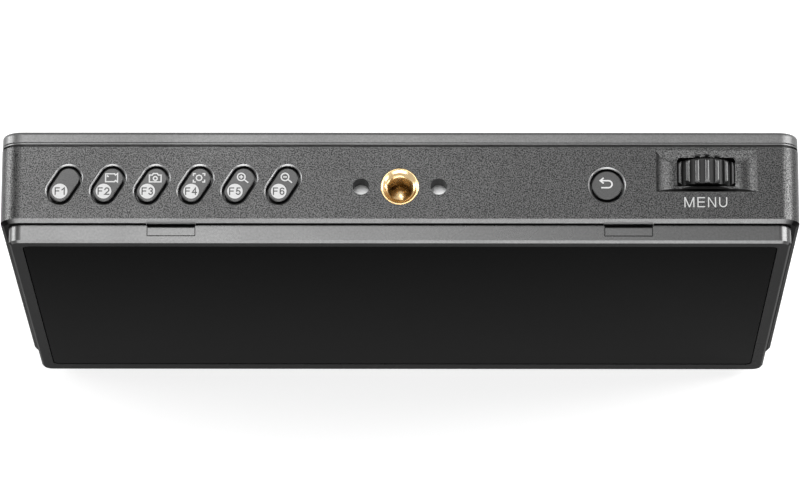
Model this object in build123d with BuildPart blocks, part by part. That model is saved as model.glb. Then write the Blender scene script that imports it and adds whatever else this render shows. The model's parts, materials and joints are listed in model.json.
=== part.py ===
"""Seven-inch on-camera field monitor, modelled as separate pieces.

Frame: X runs to the right as seen by someone facing the screen, Y runs back, Z runs up, in millimetres.
The origin is the mouth of the tripod thread in the bottom face.
"""
import os
from math import atan2, degrees, hypot, sqrt

from build123d import *

os.makedirs("parts", exist_ok=True)

# ------------------------------------------------------------------ driving dimensions
# Overall form
width = 184.0
height = 116.0
bezel_depth = 4.3
body_depth = 18.4
cover_depth = 3.4
thread_setback = 12.85            # from the front plane to the axis of the tripod threads
corner_radius = 4.8
corner_step = 2.0                 # the cavity's corners are this much tighter than the outer ones
wall_side = 3.0
wall_top = 3.5
front_chamfer = 0.85
rear_chamfer = 0.3
cover_inset = 0.1
cover_round = 0.9
parting_depth = 0.6               # how far both shadow lines round the housing are set in
cover_gap = 0.3                   # shadow line between the housing and the rear cover
cover_lip = 0.25                  # thin rim of the cover in front of its score line
score_width = 0.2
score_depth = 0.3
cover_edge = 0.15
overrun = 1.0                     # how far a cut runs past the face it starts from

# Front bezel, glass and panel
bezel_inset = 2.0
bezel_corner = 2.9
bezel_chamfer = 0.55
bezel_gap = 0.2                   # shadow line between the bezel and the housing
border_top = 3.3
border_side = 3.0
border_bottom = 4.9
glass_thickness = 1.1
glass_corner = 1.6
glass_sink = 0.15
glass_gap = 0.12
glass_ledge = 1.9
clear_corner = 1.0                # of the window behind the glass
glass_edge = 0.12
panel_size = (164.0, 98.0)
panel_thickness = 2.7
panel_corner = 1.5
panel_rim = 3.0
panel_tray = 0.6
panel_tray_corner = 1.0
hood_slot_length = 11.2
hood_slot_edge = 39.45            # from the side faces to the middle of each slot
hood_slot_depth = 4.5
hood_notch = 0.3                  # part of each slot that is cut into the housing
hood_slot_reach = 0.15            # part of each slot that is cut into the bezel
hood_slot_round = 0.75
hood_flat_reach = 2.8             # flat in front of each slot, inside a fine seam
hood_seam = 0.2
hood_seam_depth = 0.3

# Inner ledge and sheet bracket behind the panel
ledge_thickness = 1.65
ledge_reach = 6.0                 # from the bezel's edge to the window in the ledge
ledge_corner = 2.0
bracket_thickness = 0.8
bracket_gap = 0.1
bracket_reach = 3.0               # how far the bracket's seat reaches round the window
bracket_side_gap = 0.2
bracket_windows = 3
bracket_window_size = (30.0, 44.0)
bracket_window_pitch = 40.0
board_standoff_radius = 2.6

# Tripod threads and their locating holes
insert_diameter = 8.85
insert_depth = 8.5
insert_bore = 5.2
insert_mouth = 6.6
insert_clearance = 0.03
insert_edge = 0.2
pin_hole_diameter = 3.85
pin_hole_depth = 5.0
pin_hole_offset = 8.93
boss_floor = 1.2
boss_side = 4.5                   # past the middle of each locating hole
boss_wall = 1.8                   # round the insert
boss_corner = 3.0

# Function keys
key_count = 6
key_pitch = 10.07
key_edge = 14.8                   # from the left side face to the middle of the first key
key_y = 0.42
key_radius = 2.42
key_lean = (1.96, 3.15)           # step from the lower arc's centre to the upper one
key_rim = 0.35
key_gap = 0.6
key_flange = 0.65
key_flange_thickness = 0.9
key_round = 0.2
key_proud = -0.05
key_travel = 0.5
key_rest_gap = 0.1
stub_width = 2.3
switch_height = 2.5
switch_body = 4.6
switch_knob = 1.9
switch_knob_height = 0.9
board_drop = 5.1                  # from the wall's inner face down to the key boards
key_board_thickness = 1.2
key_board_depth = 14.0
key_board_setback = 1.6           # of the boards' middle behind the keys
key_board_reach = (4.9, 6.3)      # past the first and the last key
key_board_corner = 1.0
pillar_width = 2.4
pillar_setback = 6.8
pillar_reach = (2.0, 4.0)         # past the first and the last key

# Return key
return_edge = 44.4                # from the right side face
return_y = 0.35
return_diameter = 6.8
return_board_width = 14.5
return_pillar_step = (5.5, -1.0)  # beside the key, and back from the row of pillars

# Menu wheel, its scoop and its sprung yoke
wheel_edge = 21.45                # from the right side face
wheel_y = 4.15
wheel_radius = 8.7
wheel_width = 5.9
wheel_ridges = 22
wheel_phase = 6.9                 # degrees from the right-hand side to the first ridge
wheel_ridge_radius = 0.62
wheel_groove_depth = 1.0
wheel_chamfer = 0.7
wheel_proud = 0.0
wheel_web_sink = 0.8
wheel_rim = 1.9                   # outside the dished webs
wheel_hub_wall = 1.2
wheel_bore = 3.1
axle_clearance = 0.05
axle_edge = 0.2
scoop_width = 23.3
scoop_depth = 2.6
scoop_front = -1.2
scoop_length = 9.9
scoop_front_run = 1.5             # how far the front wall slopes in on its way down
scoop_rear_run = 2.6
scoop_corner = 7.0
scoop_floor = 2.0
scoop_side = 1.5                  # floor past each end of the scoop
scoop_ahead = 2.0                 # floor ahead of the scoop
wheel_room = 0.5                  # at each end of the wheel, in the floor
slot_side_gap = 0.3
slot_end_gap = 0.5
slot_corner = 0.8
wheel_relief = 0.35               # hollow under the slot's ends that clears the wheel
yoke_gap = 0.25
yoke_cheek = 1.2
yoke_half_width = 5.0
yoke_base = 1.4
yoke_foot = 5.0                   # height of the straight foot below the cheeks
yoke_rest_gap = 0.3               # under the scoop's floor
yoke_post = 3.0
yoke_post_reach = 4.0
yoke_post_gap = 0.15
yoke_lift = 0.7
wheel_bracket_wall = 1.2
wheel_bracket_side = 2.0          # past each side of the yoke
wheel_switch_height = 2.1
knob_gap = 0.05                   # between a switch and what presses it, at the end of its travel

# Boards
board_rear = -2.0                 # Y of the face that carries the sockets
board_thickness = 1.6
board_side_gap = 10.0
board_bottom_gap = 12.0
board_top_gap = 24.0
board_corner = 2.0
board_screw_tail = 2.6            # below the board
standoff_inset = (14.0, 8.0)
standoff_gap = 0.65               # from the wheel's bracket down to the upper screw heads

# Sockets in the left and right walls
socket_recess = 0.7
video_rise = (24.0, 4.0)            # from mid height
video_size = (15.0, 5.6)
video_depth = 12.0
video_shell = 0.5
video_mouth_depth = 9.0
video_mouth_cut = 1.4               # cut lower corners of the mouth
video_tongue = (11.0, 1.0)
video_tongue_shift = 0.35
usb_rise = -13.0
usb_size = (9.0, 3.3)
usb_depth = 9.0
usb_shell = 0.3
usb_mouth_depth = 6.6
usb_tongue = (6.6, 0.7)
phones_rise = -26.0
phones_radius = 3.0
phones_body = (7.0, 6.0, 11.0)
phones_collar_gap = 0.1
phones_collar_length = 2.6
phones_bore = 1.8
phones_bore_depth = 12.0
dc_z = 30.0
dc_size = (9.0, 10.0)
dc_depth = 14.0
dc_mouth_radius = 3.15
dc_pin_radius = 1.05
dc_mouth_depth = 10.0
window_gap = 0.35
window_corner = 0.8
usb_window_corner = 1.9

# Power key on the right wall
power_rise = 10.0
power_y = 0.8
power_radius = 3.2
power_gap = 0.3
power_sink = 0.1                  # of the key's face in the wall
power_stub = 2.4
power_switch_reach = 2.4          # behind the key's axis
power_switch_width = 5.2
power_switch_depth = 4.0

# Rear cover, its screws, vents and battery plate
cover_wall = 2.0
pocket_rim = (12.0, 13.0)           # solid border round the inner pocket
pocket_corner = 3.0
screw_inset = (6.0, 6.4)
middle_screws = (-45.0, 45.0)       # along the bottom edge
top_screw_x = 29.0
screw_boss_radius = 3.4
screw_radius = 1.25
screw_head_radius = 2.3
screw_head_height = 1.2
screw_reach = 7.0
screw_gap = 0.15
screw_head_gap = 0.2
screw_head_sink = 0.3
screw_tip_gap = 1.0
thread_gap = 0.05
vent_count = 5
vent_pitch = 8.8
vent_width = 4.4
vent_length = 34.0
vent_x = 50.0
vent_rise = -3.0
plate_size = (42.0, 92.0)
plate_margin = 1.5
plate_base = 2.0
plate_island = 1.6
plate_island_width = 35.6
plate_corner = 3.0
plate_island_corner = 1.5
plate_screw_x = 14.0
plate_screw_rise = (-22.0, 26.0)    # from the plate's middle
plate_screw_gap = 0.1
island_gap = 1.2                    # above the tips of the contact blades
hook_length = 9.0
hook_overhang = 2.0
hook_reach = 5.0
hook_height = 1.4
hook_spacing = 34.0
terminal_size = (22.0, 7.0, 4.6)
terminal_corner = 0.8
blade_spacing = 7.6
blade_size = (0.8, 7.5, 3.2)
blade_seat = 3.9
blade_seat_gap = (0.02, 0.1)        # beside a blade, and under it
blade_shift = 0.4                   # back from the middle of the block
battery_length = 70.8             # between the contact block and the latch
battery_gap = 0.3
latch_size = (13.0, 11.0)
latch_tooth = 2.2
latch_tooth_flat = 1.6
latch_ramp_end = 5.4                # above the latch's lower edge
latch_pad = 0.4                     # how far the finger pad stands proud
latch_ribs = 3
latch_rib_radius = 0.35
latch_rib_pitch = 1.5
latch_rib_inset = (1.0, 1.2)        # from the sides and from the upper edge
latch_travel = 2.2
latch_gap = 0.25
latch_opening_corner = 0.8
latch_flange = 1.2
latch_flange_reach = 1.1
latch_flange_gap = 0.1              # to the plate in front of the flange
latch_room_side = 1.6               # of the pocket round the latch
latch_room_corner = 1.0
latch_room_gap = 0.3
latch_floor = 1.4
latch_wall = 1.5
latch_boss_corner = 2.0

# Heat spreader
spreader_size = (54.0, 46.0)
spreader_x = 48.0
spreader_base = 1.5
spreader_corner = 1.5
fin_gap = 0.6                     # from the fins to the rear cover
fin_count = 11
fin_thickness = 1.3
chip_height = 1.4

# ------------------------------------------------------------------ places worked out from them
y_front = -thread_setback
y_body = y_front + bezel_depth
y_rear = y_body + body_depth
y_back = y_rear + cover_depth
mid_z = height / 2
plate_z = mid_z
vent_z = mid_z + vent_rise
spreader_center = (spreader_x, vent_z)
video_z = [mid_z + rise for rise in video_rise]
usb_z = mid_z + usb_rise
phones_z = mid_z + phones_rise
power_z = mid_z + power_rise
inner_top = height - wall_top
inner_side = width / 2 - wall_side

hood_slot_x = width / 2 - hood_slot_edge
bezel_width = width - 2 * bezel_inset
bezel_height = height - 2 * bezel_inset
opening_width = bezel_width - 2 * border_side
opening_height = bezel_height - border_top - border_bottom
opening_z = bezel_inset + border_bottom + opening_height / 2
glass_rear = y_front + glass_sink + glass_thickness

y_bracket = y_body + bracket_gap
y_ledge = y_bracket + bracket_thickness
y_cavity = y_ledge + ledge_thickness
board_front = board_rear - board_thickness
board_half_width = width / 2 - board_side_gap
board_high = height - board_top_gap
screw_x = width / 2 - screw_inset[0]
screw_places = [(x, z) for x in (-screw_x, screw_x) for z in (screw_inset[1], height - screw_inset[1])]
screw_places += [(x, screw_inset[1]) for x in middle_screws] + [(top_screw_x, height - screw_inset[1])]

key_top = height + key_proud
key_flange_top = inner_top - key_rest_gap
key_board_top = inner_top - board_drop
key_stub_low = key_board_top + switch_height + key_travel + knob_gap
pillar_y = key_y + pillar_setback
key_angle = degrees(atan2(key_lean[1], key_lean[0]))
key_span = hypot(*key_lean)
key_opening = key_radius + key_gap
key_first_x = -width / 2 + key_edge
key_last_x = key_first_x + (key_count - 1) * key_pitch
key_places = [(key_first_x + i * key_pitch, key_y) for i in range(key_count)]
return_x = width / 2 - return_edge

wheel_x = width / 2 - wheel_edge
wheel_z = height + wheel_proud - wheel_radius
scoop_overhang = scoop_corner - sqrt(scoop_corner ** 2 - (scoop_corner - scoop_depth) ** 2)
scoop_span = 3 * scoop_corner     # tall enough for the outline to run well past the top face
slot_width = wheel_width + 2 * slot_side_gap
slot_half = sqrt(wheel_radius ** 2 - (height - scoop_depth - wheel_z) ** 2) + slot_end_gap
axle_radius = wheel_bore / 2 - axle_clearance
yoke_low = wheel_z - wheel_radius - key_travel - yoke_base
yoke_half_depth = wheel_width / 2 + yoke_gap + yoke_cheek
yoke_cheek_radius = height - scoop_depth - scoop_floor - yoke_rest_gap - wheel_z
shelf_top = yoke_low - yoke_lift
post_low = shelf_top - wheel_bracket_wall - yoke_post_reach
switch_shelf = post_low - key_travel - knob_gap - wheel_switch_height
standoff_x = board_half_width - standoff_inset[0]
standoff_high = switch_shelf - wheel_bracket_wall - standoff_gap - screw_head_radius
standoffs = [(x, z) for x in (-standoff_x, standoff_x)
             for z in (board_bottom_gap + standoff_inset[1], standoff_high)]
boss_depth = insert_depth + boss_floor

socket_y = board_rear + video_size[1] / 2
usb_y = board_rear + usb_size[1] / 2
phones_y = board_rear + phones_radius
dc_y = board_rear + dc_size[1] / 2
plate_face = y_back + plate_base
island_face = plate_face + plate_island
terminal_z = plate_z - plate_size[1] / 2 + plate_margin + terminal_size[1] / 2
terminal_top = terminal_z + terminal_size[1] / 2
blade_y = plate_face + terminal_size[2] / 2 + blade_shift
blade_places = [(x, blade_y) for x in (-blade_spacing, 0, blade_spacing)]
island_low = terminal_top + blade_size[1] - blade_seat + island_gap
island_high = plate_z + plate_size[1] / 2 - plate_margin
latch_z = terminal_top + battery_length + battery_gap + latch_size[1] / 2


def front_sketch(y):
    """Plane across the monitor at depth y: sketches have X across and Z up, and -extrude goes back."""
    return Plane.XZ.offset(-y)


def rounded_plate(y, depth, size, radius, center_z=None, mode=Mode.ADD):
    """Extrude a rounded rectangle from depth y back by depth, inside the part that is open."""
    with BuildSketch(front_sketch(y)) as outline:
        with Locations((0, mid_z if center_z is None else center_z)):
            RectangleRounded(size[0], size[1], radius)
    extrude(outline.sketch, amount=-depth, mode=mode)


def save(piece, name):
    """Label a finished piece and write it as its own STEP file."""
    piece.part.label = name
    export_step(piece.part, f"parts/{name}.step")


# ------------------------------------------------------------------ main housing
with BuildPart() as scoop:
    # shallow hollow with round ends and a sloping front and rear wall, run past the top face
    with BuildSketch(front_sketch(scoop_front - scoop_front_run)):
        with Locations((wheel_x, height - scoop_depth + scoop_span / 2)):
            RectangleRounded(scoop_width + 2 * scoop_overhang, scoop_span, scoop_corner)
    extrude(amount=-(scoop_length + scoop_front_run + scoop_rear_run))
    scoop_rear = scoop_front + scoop_length
    run_past = scoop_depth / 2
    with BuildSketch(Plane.YZ.offset(wheel_x - scoop_width)):
        with BuildLine():
            Polyline((scoop_front - scoop_front_run / 2, height + run_past),
                     (scoop_front + scoop_front_run, height - scoop_depth),
                     (scoop_rear - scoop_rear_run, height - scoop_depth),
                     (scoop_rear + scoop_rear_run / 2, height + run_past), close=True)
        make_face()
    extrude(amount=2 * scoop_width, mode=Mode.INTERSECT)

with BuildPart() as main_housing:
    rounded_plate(y_body, body_depth, (width, height), corner_radius)
    chamfer(main_housing.faces().sort_by(Axis.Y)[0].edges(), front_chamfer)
    chamfer(main_housing.faces().sort_by(Axis.Y)[-1].edges(), rear_chamfer)
    # hollow from the rear, leaving a ledge round the front for the panel's bracket
    cavity = (2 * inner_side, height - 2 * wall_top)
    cavity_corner = corner_radius - corner_step
    rounded_plate(y_cavity, y_rear - y_cavity + overrun, cavity, cavity_corner, mode=Mode.SUBTRACT)
    window = (bezel_width - 2 * ledge_reach, bezel_height - 2 * ledge_reach)
    rounded_plate(y_body - overrun, body_depth, window, ledge_corner, mode=Mode.SUBTRACT)
    bracket_room = (window[0] + 2 * bracket_reach, window[1] + 2 * bracket_reach)
    room_depth = y_ledge - y_body + overrun
    rounded_plate(y_body - overrun, room_depth, bracket_room, ledge_corner, mode=Mode.SUBTRACT)

    # bosses behind the tripod threads, top and bottom
    for boss_low in (wall_top, height - boss_depth):
        with BuildSketch(Plane.XY.offset(boss_low)):
            boss_width = 2 * (pin_hole_offset + boss_side)
            RectangleRounded(boss_width, insert_diameter + 2 * boss_wall, boss_corner)
        extrude(amount=boss_depth - wall_top)
    # thick floor under the wheel's scoop
    with BuildSketch(Plane.XY.offset(height - scoop_depth - scoop_floor)):
        with Locations((wheel_x, (y_rear + scoop_front - scoop_ahead) / 2)):
            Rectangle(scoop_width + 2 * scoop_side, y_rear - scoop_front + scoop_ahead)
        with Locations((wheel_x, wheel_y)):
            Rectangle(2 * (wheel_radius + wheel_room), slot_width, mode=Mode.SUBTRACT)
    extrude(amount=scoop_depth + scoop_floor - wall_top)
    # pillars that carry the key boards
    with BuildSketch(Plane.XY.offset(key_board_top)):
        pillar_places = [(key_first_x - pillar_reach[0], pillar_y),
                         ((key_first_x + key_last_x) / 2, pillar_y),
                         (key_last_x + pillar_reach[1], pillar_y)]
        pillar_places += [(return_x + side * return_pillar_step[0], pillar_y + return_pillar_step[1])
                          for side in (-1, 1)]
        with Locations(pillar_places):
            Rectangle(pillar_width, pillar_width)
    extrude(amount=board_drop)
    # bosses for the rear screws
    with BuildSketch(front_sketch(y_cavity)):
        with Locations(screw_places):
            Circle(screw_boss_radius)
    extrude(amount=-(y_rear - y_cavity))
    with BuildSketch(front_sketch(y_rear)):
        with Locations(screw_places):
            Circle(screw_radius)
    extrude(amount=screw_reach, mode=Mode.SUBTRACT)

    # key openings with a chamfered rim
    with BuildSketch(Plane.XY.offset(height)):
        with Locations(key_places):
            SlotCenterToCenter(key_span, 2 * key_opening, rotation=key_angle)
        with Locations((return_x, return_y)):
            Circle(return_diameter / 2 + key_gap)
    extrude(amount=-wall_top, mode=Mode.SUBTRACT)
    top_face = main_housing.faces().sort_by(Axis.Z)[-1]
    chamfer([edge for wire in top_face.inner_wires() for edge in wire.edges()], key_rim)

    # seats of the threaded inserts and the locating holes beside them
    for mouth_z, inward in ((height, -1), (0, 1)):
        with BuildSketch(Plane.XY.offset(mouth_z)):
            Circle(insert_diameter / 2 + insert_clearance)
        extrude(amount=inward * insert_depth, mode=Mode.SUBTRACT)
        with BuildSketch(Plane.XY.offset(mouth_z)):
            with Locations((-pin_hole_offset, 0), (pin_hole_offset, 0)):
                Circle(pin_hole_diameter / 2)
        extrude(amount=inward * pin_hole_depth, mode=Mode.SUBTRACT)

    # finger scoop and slot of the menu wheel
    add(scoop.part, mode=Mode.SUBTRACT)
    with BuildSketch(Plane.XY.offset(height)):
        with Locations((wheel_x, wheel_y)):
            RectangleRounded(2 * slot_half, slot_width, slot_corner)
    extrude(amount=-(scoop_depth + scoop_floor), mode=Mode.SUBTRACT)
    with BuildSketch(front_sketch(wheel_y - slot_width / 2)):
        with Locations((wheel_x, wheel_z)):
            Circle(wheel_radius + wheel_relief)
    extrude(amount=-slot_width, mode=Mode.SUBTRACT)

    # notches where the sun hood's clips reach behind the bezel
    with BuildSketch(front_sketch(y_body)):
        with Locations([(side * hood_slot_x, height - hood_slot_depth / 2) for side in (-1, 1)]):
            Rectangle(hood_slot_length, hood_slot_depth)
    extrude(amount=-hood_notch, mode=Mode.SUBTRACT)

    # windows for the sockets on the left wall
    with BuildSketch(Plane.YZ.offset(-width / 2)):
        with Locations([(socket_y, z) for z in video_z]):
            RectangleRounded(video_size[1] + 2 * window_gap, video_size[0] + 2 * window_gap, window_corner)
        with Locations((usb_y, usb_z)):
            RectangleRounded(usb_size[1] + 2 * window_gap, usb_size[0] + 2 * window_gap, usb_window_corner)
        with Locations((phones_y, phones_z)):
            Circle(phones_radius + window_gap)
    extrude(amount=wall_side, mode=Mode.SUBTRACT)
    # window for the power inlet and opening for the power key on the right wall
    with BuildSketch(Plane.YZ.offset(width / 2)):
        with Locations((dc_y, dc_z)):
            RectangleRounded(dc_size[1] + 2 * window_gap, dc_size[0] + 2 * window_gap, window_corner)
        with Locations((power_y, power_z)):
            Circle(power_radius + power_gap)
    extrude(amount=-wall_side, mode=Mode.SUBTRACT)
save(main_housing, "main_housing")

# ------------------------------------------------------------------ front bezel
with BuildPart() as front_bezel:
    rounded_plate(y_front, bezel_depth - bezel_gap, (bezel_width, bezel_height), bezel_corner)
    chamfer(front_bezel.faces().sort_by(Axis.Y)[0].edges(), bezel_chamfer)
    # set-back foot that leaves a shadow line against the housing
    foot = (bezel_width - 2 * parting_depth, bezel_height - 2 * parting_depth)
    rounded_plate(y_body - bezel_gap, bezel_gap, foot, bezel_corner - parting_depth)
    # seat for the glass, and the clear window behind it
    seat = (opening_width, opening_height)
    seat_corner = glass_corner + glass_gap
    rounded_plate(y_front, glass_sink + glass_thickness, seat, seat_corner, opening_z, Mode.SUBTRACT)
    clear = (opening_width - 2 * glass_ledge, opening_height - 2 * glass_ledge)
    rounded_plate(y_front, bezel_depth, clear, clear_corner, opening_z, Mode.SUBTRACT)
    # hood clip slots with a rounded lip, and a fine seam round the flat in front of each
    slot_y = y_body - hood_slot_reach
    lip_y = slot_y - hood_slot_round
    lip_z = height - bezel_inset
    for side in (-1, 1):
        with BuildSketch(Plane.YZ.offset(side * hood_slot_x - hood_slot_length / 2)):
            with BuildLine():
                Polyline((slot_y, lip_z - hood_slot_round),
                         (slot_y, height - hood_slot_depth),
                         (y_body, height - hood_slot_depth),
                         (y_body, height),
                         (lip_y, height),
                         (lip_y, lip_z))
                TangentArc((lip_y, lip_z), (slot_y, lip_z - hood_slot_round), tangent=(1, 0))
            make_face()
        extrude(amount=hood_slot_length, mode=Mode.SUBTRACT)
        with BuildSketch(Plane.XY.offset(lip_z)):
            with Locations((side * hood_slot_x, y_body - hood_flat_reach / 2)):
                Rectangle(hood_slot_length, hood_flat_reach)
            with Locations((side * hood_slot_x, y_body - (hood_flat_reach - hood_seam) / 2)):
                Rectangle(hood_slot_length - 2 * hood_seam, hood_flat_reach - hood_seam, mode=Mode.SUBTRACT)
        extrude(amount=-hood_seam_depth, mode=Mode.SUBTRACT)
save(front_bezel, "front_bezel")

# ------------------------------------------------------------------ glass, panel and bracket
with BuildPart() as cover_glass:
    glass_size = (opening_width - 2 * glass_gap, opening_height - 2 * glass_gap)
    rounded_plate(y_front + glass_sink, glass_thickness, glass_size, glass_corner, opening_z)
    chamfer(cover_glass.faces().sort_by(Axis.Y)[0].edges(), glass_edge)
save(cover_glass, "cover_glass")

with BuildPart() as lcd_panel:
    rounded_plate(glass_rear, panel_thickness, panel_size, panel_corner, opening_z)
    # recessed rear tray of the backlight
    tray = (panel_size[0] - 2 * panel_rim, panel_size[1] - 2 * panel_rim)
    tray_y = glass_rear + panel_thickness - panel_tray
    rounded_plate(tray_y, panel_tray, tray, panel_tray_corner, opening_z, Mode.SUBTRACT)
save(lcd_panel, "lcd_panel")

with BuildPart() as lcd_bracket:
    bracket = (bracket_room[0] - 2 * bracket_side_gap, bracket_room[1] - 2 * bracket_side_gap)
    rounded_plate(y_bracket, bracket_thickness, bracket, ledge_corner - bracket_side_gap)
    # lightening windows between the standoffs
    with BuildSketch(front_sketch(y_bracket)):
        with Locations((0, mid_z)):
            with GridLocations(bracket_window_pitch, 0, bracket_windows, 1):
                Rectangle(*bracket_window_size)
    extrude(amount=-bracket_thickness, mode=Mode.SUBTRACT)
    with BuildSketch(front_sketch(y_ledge)):
        with Locations(standoffs):
            Circle(board_standoff_radius)
    extrude(amount=-(board_front - y_ledge))
    with BuildSketch(front_sketch(board_front)):
        with Locations(standoffs):
            Circle(screw_radius)
    extrude(amount=board_front - y_ledge, mode=Mode.SUBTRACT)
save(lcd_bracket, "lcd_bracket")

# ------------------------------------------------------------------ tripod thread inserts
for name, mouth_z, facing in (("top_thread_insert", height, 1), ("bottom_thread_insert", 0, -1)):
    with BuildPart() as thread_insert:
        with BuildSketch(Plane.XZ):
            with BuildLine():
                lead = (insert_mouth - insert_bore) / 2
                Polyline((insert_mouth / 2, mouth_z),
                         (insert_diameter / 2 - insert_edge, mouth_z),
                         (insert_diameter / 2, mouth_z - facing * insert_edge),
                         (insert_diameter / 2, mouth_z - facing * insert_depth),
                         (insert_bore / 2, mouth_z - facing * insert_depth),
                         (insert_bore / 2, mouth_z - facing * lead), close=True)
            make_face()
        revolve(axis=Axis.Z)
    save(thread_insert, name)

# ------------------------------------------------------------------ function keys and return key
for i, place in enumerate(key_places):
    with BuildPart() as function_key:
        with BuildSketch(Plane.XY.offset(key_flange_top)):
            with Locations(place):
                SlotCenterToCenter(key_span, 2 * key_radius, rotation=key_angle)
        extrude(amount=key_top - key_flange_top)
        chamfer(function_key.faces().sort_by(Axis.Z)[-1].edges(), key_round)
        with BuildSketch(Plane.XY.offset(key_flange_top)):
            with Locations(place):
                SlotCenterToCenter(key_span, 2 * (key_opening + key_flange), rotation=key_angle)
        extrude(amount=-key_flange_thickness)
        with BuildSketch(Plane.XY.offset(key_stub_low)):
            with Locations(place):
                Rectangle(stub_width, stub_width)
        extrude(amount=key_flange_top - key_flange_thickness - key_stub_low)
    save(function_key, f"key_f{i + 1}")

with BuildPart() as return_key:
    with BuildSketch(Plane.XY.offset(key_flange_top)):
        with Locations((return_x, return_y)):
            Circle(return_diameter / 2)
    extrude(amount=key_top - key_flange_top)
    chamfer(return_key.faces().sort_by(Axis.Z)[-1].edges(), key_round)
    with BuildSketch(Plane.XY.offset(key_flange_top)):
        with Locations((return_x, return_y)):
            Circle(return_diameter / 2 + key_gap + key_flange)
    extrude(amount=-key_flange_thickness)
    with BuildSketch(Plane.XY.offset(key_stub_low)):
        with Locations((return_x, return_y)):
            Rectangle(stub_width, stub_width)
    extrude(amount=key_flange_top - key_flange_thickness - key_stub_low)
save(return_key, "return_key")

# ------------------------------------------------------------------ key boards and their switches
with BuildPart() as key_board:
    with BuildSketch(Plane.XY.offset(key_board_top)):
        board_left = key_first_x - key_board_reach[0]
        board_right = key_last_x + key_board_reach[1]
        with Locations(((board_left + board_right) / 2, key_y + key_board_setback)):
            RectangleRounded(board_right - board_left, key_board_depth, key_board_corner)
    extrude(amount=-key_board_thickness)
save(key_board, "key_board")

with BuildPart() as return_board:
    with BuildSketch(Plane.XY.offset(key_board_top)):
        with Locations((return_x, return_y + key_board_setback)):
            RectangleRounded(return_board_width, key_board_depth, key_board_corner)
    extrude(amount=-key_board_thickness)
save(return_board, "return_board")

with BuildPart() as key_switches:
    switch_places = key_places + [(return_x, return_y)]
    with BuildSketch(Plane.XY.offset(key_board_top)):
        with Locations(switch_places):
            Rectangle(switch_body, switch_body)
    extrude(amount=switch_height - switch_knob_height)
    with BuildSketch(Plane.XY.offset(key_board_top + switch_height - switch_knob_height)):
        with Locations(switch_places):
            Rectangle(switch_knob, switch_knob)
    extrude(amount=switch_knob_height)
save(key_switches, "key_switches")

# ------------------------------------------------------------------ menu wheel on its sprung yoke
wheel_front = wheel_y - wheel_width / 2
with BuildPart() as wheel_blank:
    # outer form that the ridges are trimmed to
    with BuildSketch(front_sketch(wheel_front)):
        with Locations((wheel_x, wheel_z)):
            Circle(wheel_radius)
    extrude(amount=-wheel_width)
    chamfer(wheel_blank.edges().filter_by(GeomType.CIRCLE), wheel_chamfer)

with BuildPart() as menu_wheel:
    # core with rounded ridges round it
    with BuildSketch(front_sketch(wheel_front)):
        with Locations((wheel_x, wheel_z)):
            Circle(wheel_radius - wheel_groove_depth)
            with PolarLocations(wheel_radius - wheel_ridge_radius, wheel_ridges, wheel_phase):
                Circle(wheel_ridge_radius)
    extrude(amount=-wheel_width)
    add(wheel_blank.part, mode=Mode.INTERSECT)
    # dished webs either side of the hub
    for start, depth in ((wheel_front, wheel_web_sink), (wheel_front + wheel_width, -wheel_web_sink)):
        with BuildSketch(front_sketch(start)):
            with Locations((wheel_x, wheel_z)):
                Circle(wheel_radius - wheel_rim)
                Circle(wheel_bore / 2 + wheel_hub_wall, mode=Mode.SUBTRACT)
        extrude(amount=-depth, mode=Mode.SUBTRACT)
    with BuildSketch(front_sketch(wheel_front)):
        with Locations((wheel_x, wheel_z)):
            Circle(wheel_bore / 2)
    extrude(amount=-wheel_width, mode=Mode.SUBTRACT)
save(menu_wheel, "menu_wheel")

with BuildPart() as wheel_yoke:
    # two cheeks joined by a base, with a square post below that slides in the bracket
    with BuildSketch(front_sketch(wheel_y - yoke_half_depth)):
        with Locations((wheel_x, wheel_z)):
            Circle(yoke_cheek_radius)
        with Locations((wheel_x, (wheel_z + yoke_low) / 2)):
            Rectangle(2 * yoke_cheek_radius, wheel_z - yoke_low)
        with Locations((wheel_x, yoke_low + yoke_foot / 2)):
            Rectangle(2 * yoke_half_width, yoke_foot)
    extrude(amount=-2 * yoke_half_depth)
    with BuildSketch(Plane.XY.offset(yoke_low + yoke_base)):
        with Locations((wheel_x, wheel_y)):
            Rectangle(2 * (yoke_half_width + overrun), wheel_width + 2 * yoke_gap)
    extrude(amount=2 * (wheel_radius + yoke_cheek_radius), mode=Mode.SUBTRACT)
    with BuildSketch(Plane.XY.offset(post_low)):
        with Locations((wheel_x, wheel_y)):
            Rectangle(yoke_post, yoke_post)
    extrude(amount=yoke_low - post_low)
    with BuildSketch(front_sketch(wheel_y - yoke_half_depth)):
        with Locations((wheel_x, wheel_z)):
            Circle(axle_radius)
    extrude(amount=-2 * yoke_half_depth, mode=Mode.SUBTRACT)
save(wheel_yoke, "wheel_yoke")

with BuildPart() as wheel_axle:
    with BuildSketch(front_sketch(wheel_y - yoke_half_depth)):
        with Locations((wheel_x, wheel_z)):
            Circle(axle_radius)
    extrude(amount=-2 * yoke_half_depth)
    chamfer(wheel_axle.edges().filter_by(GeomType.CIRCLE), axle_edge)
save(wheel_axle, "wheel_axle")

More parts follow.
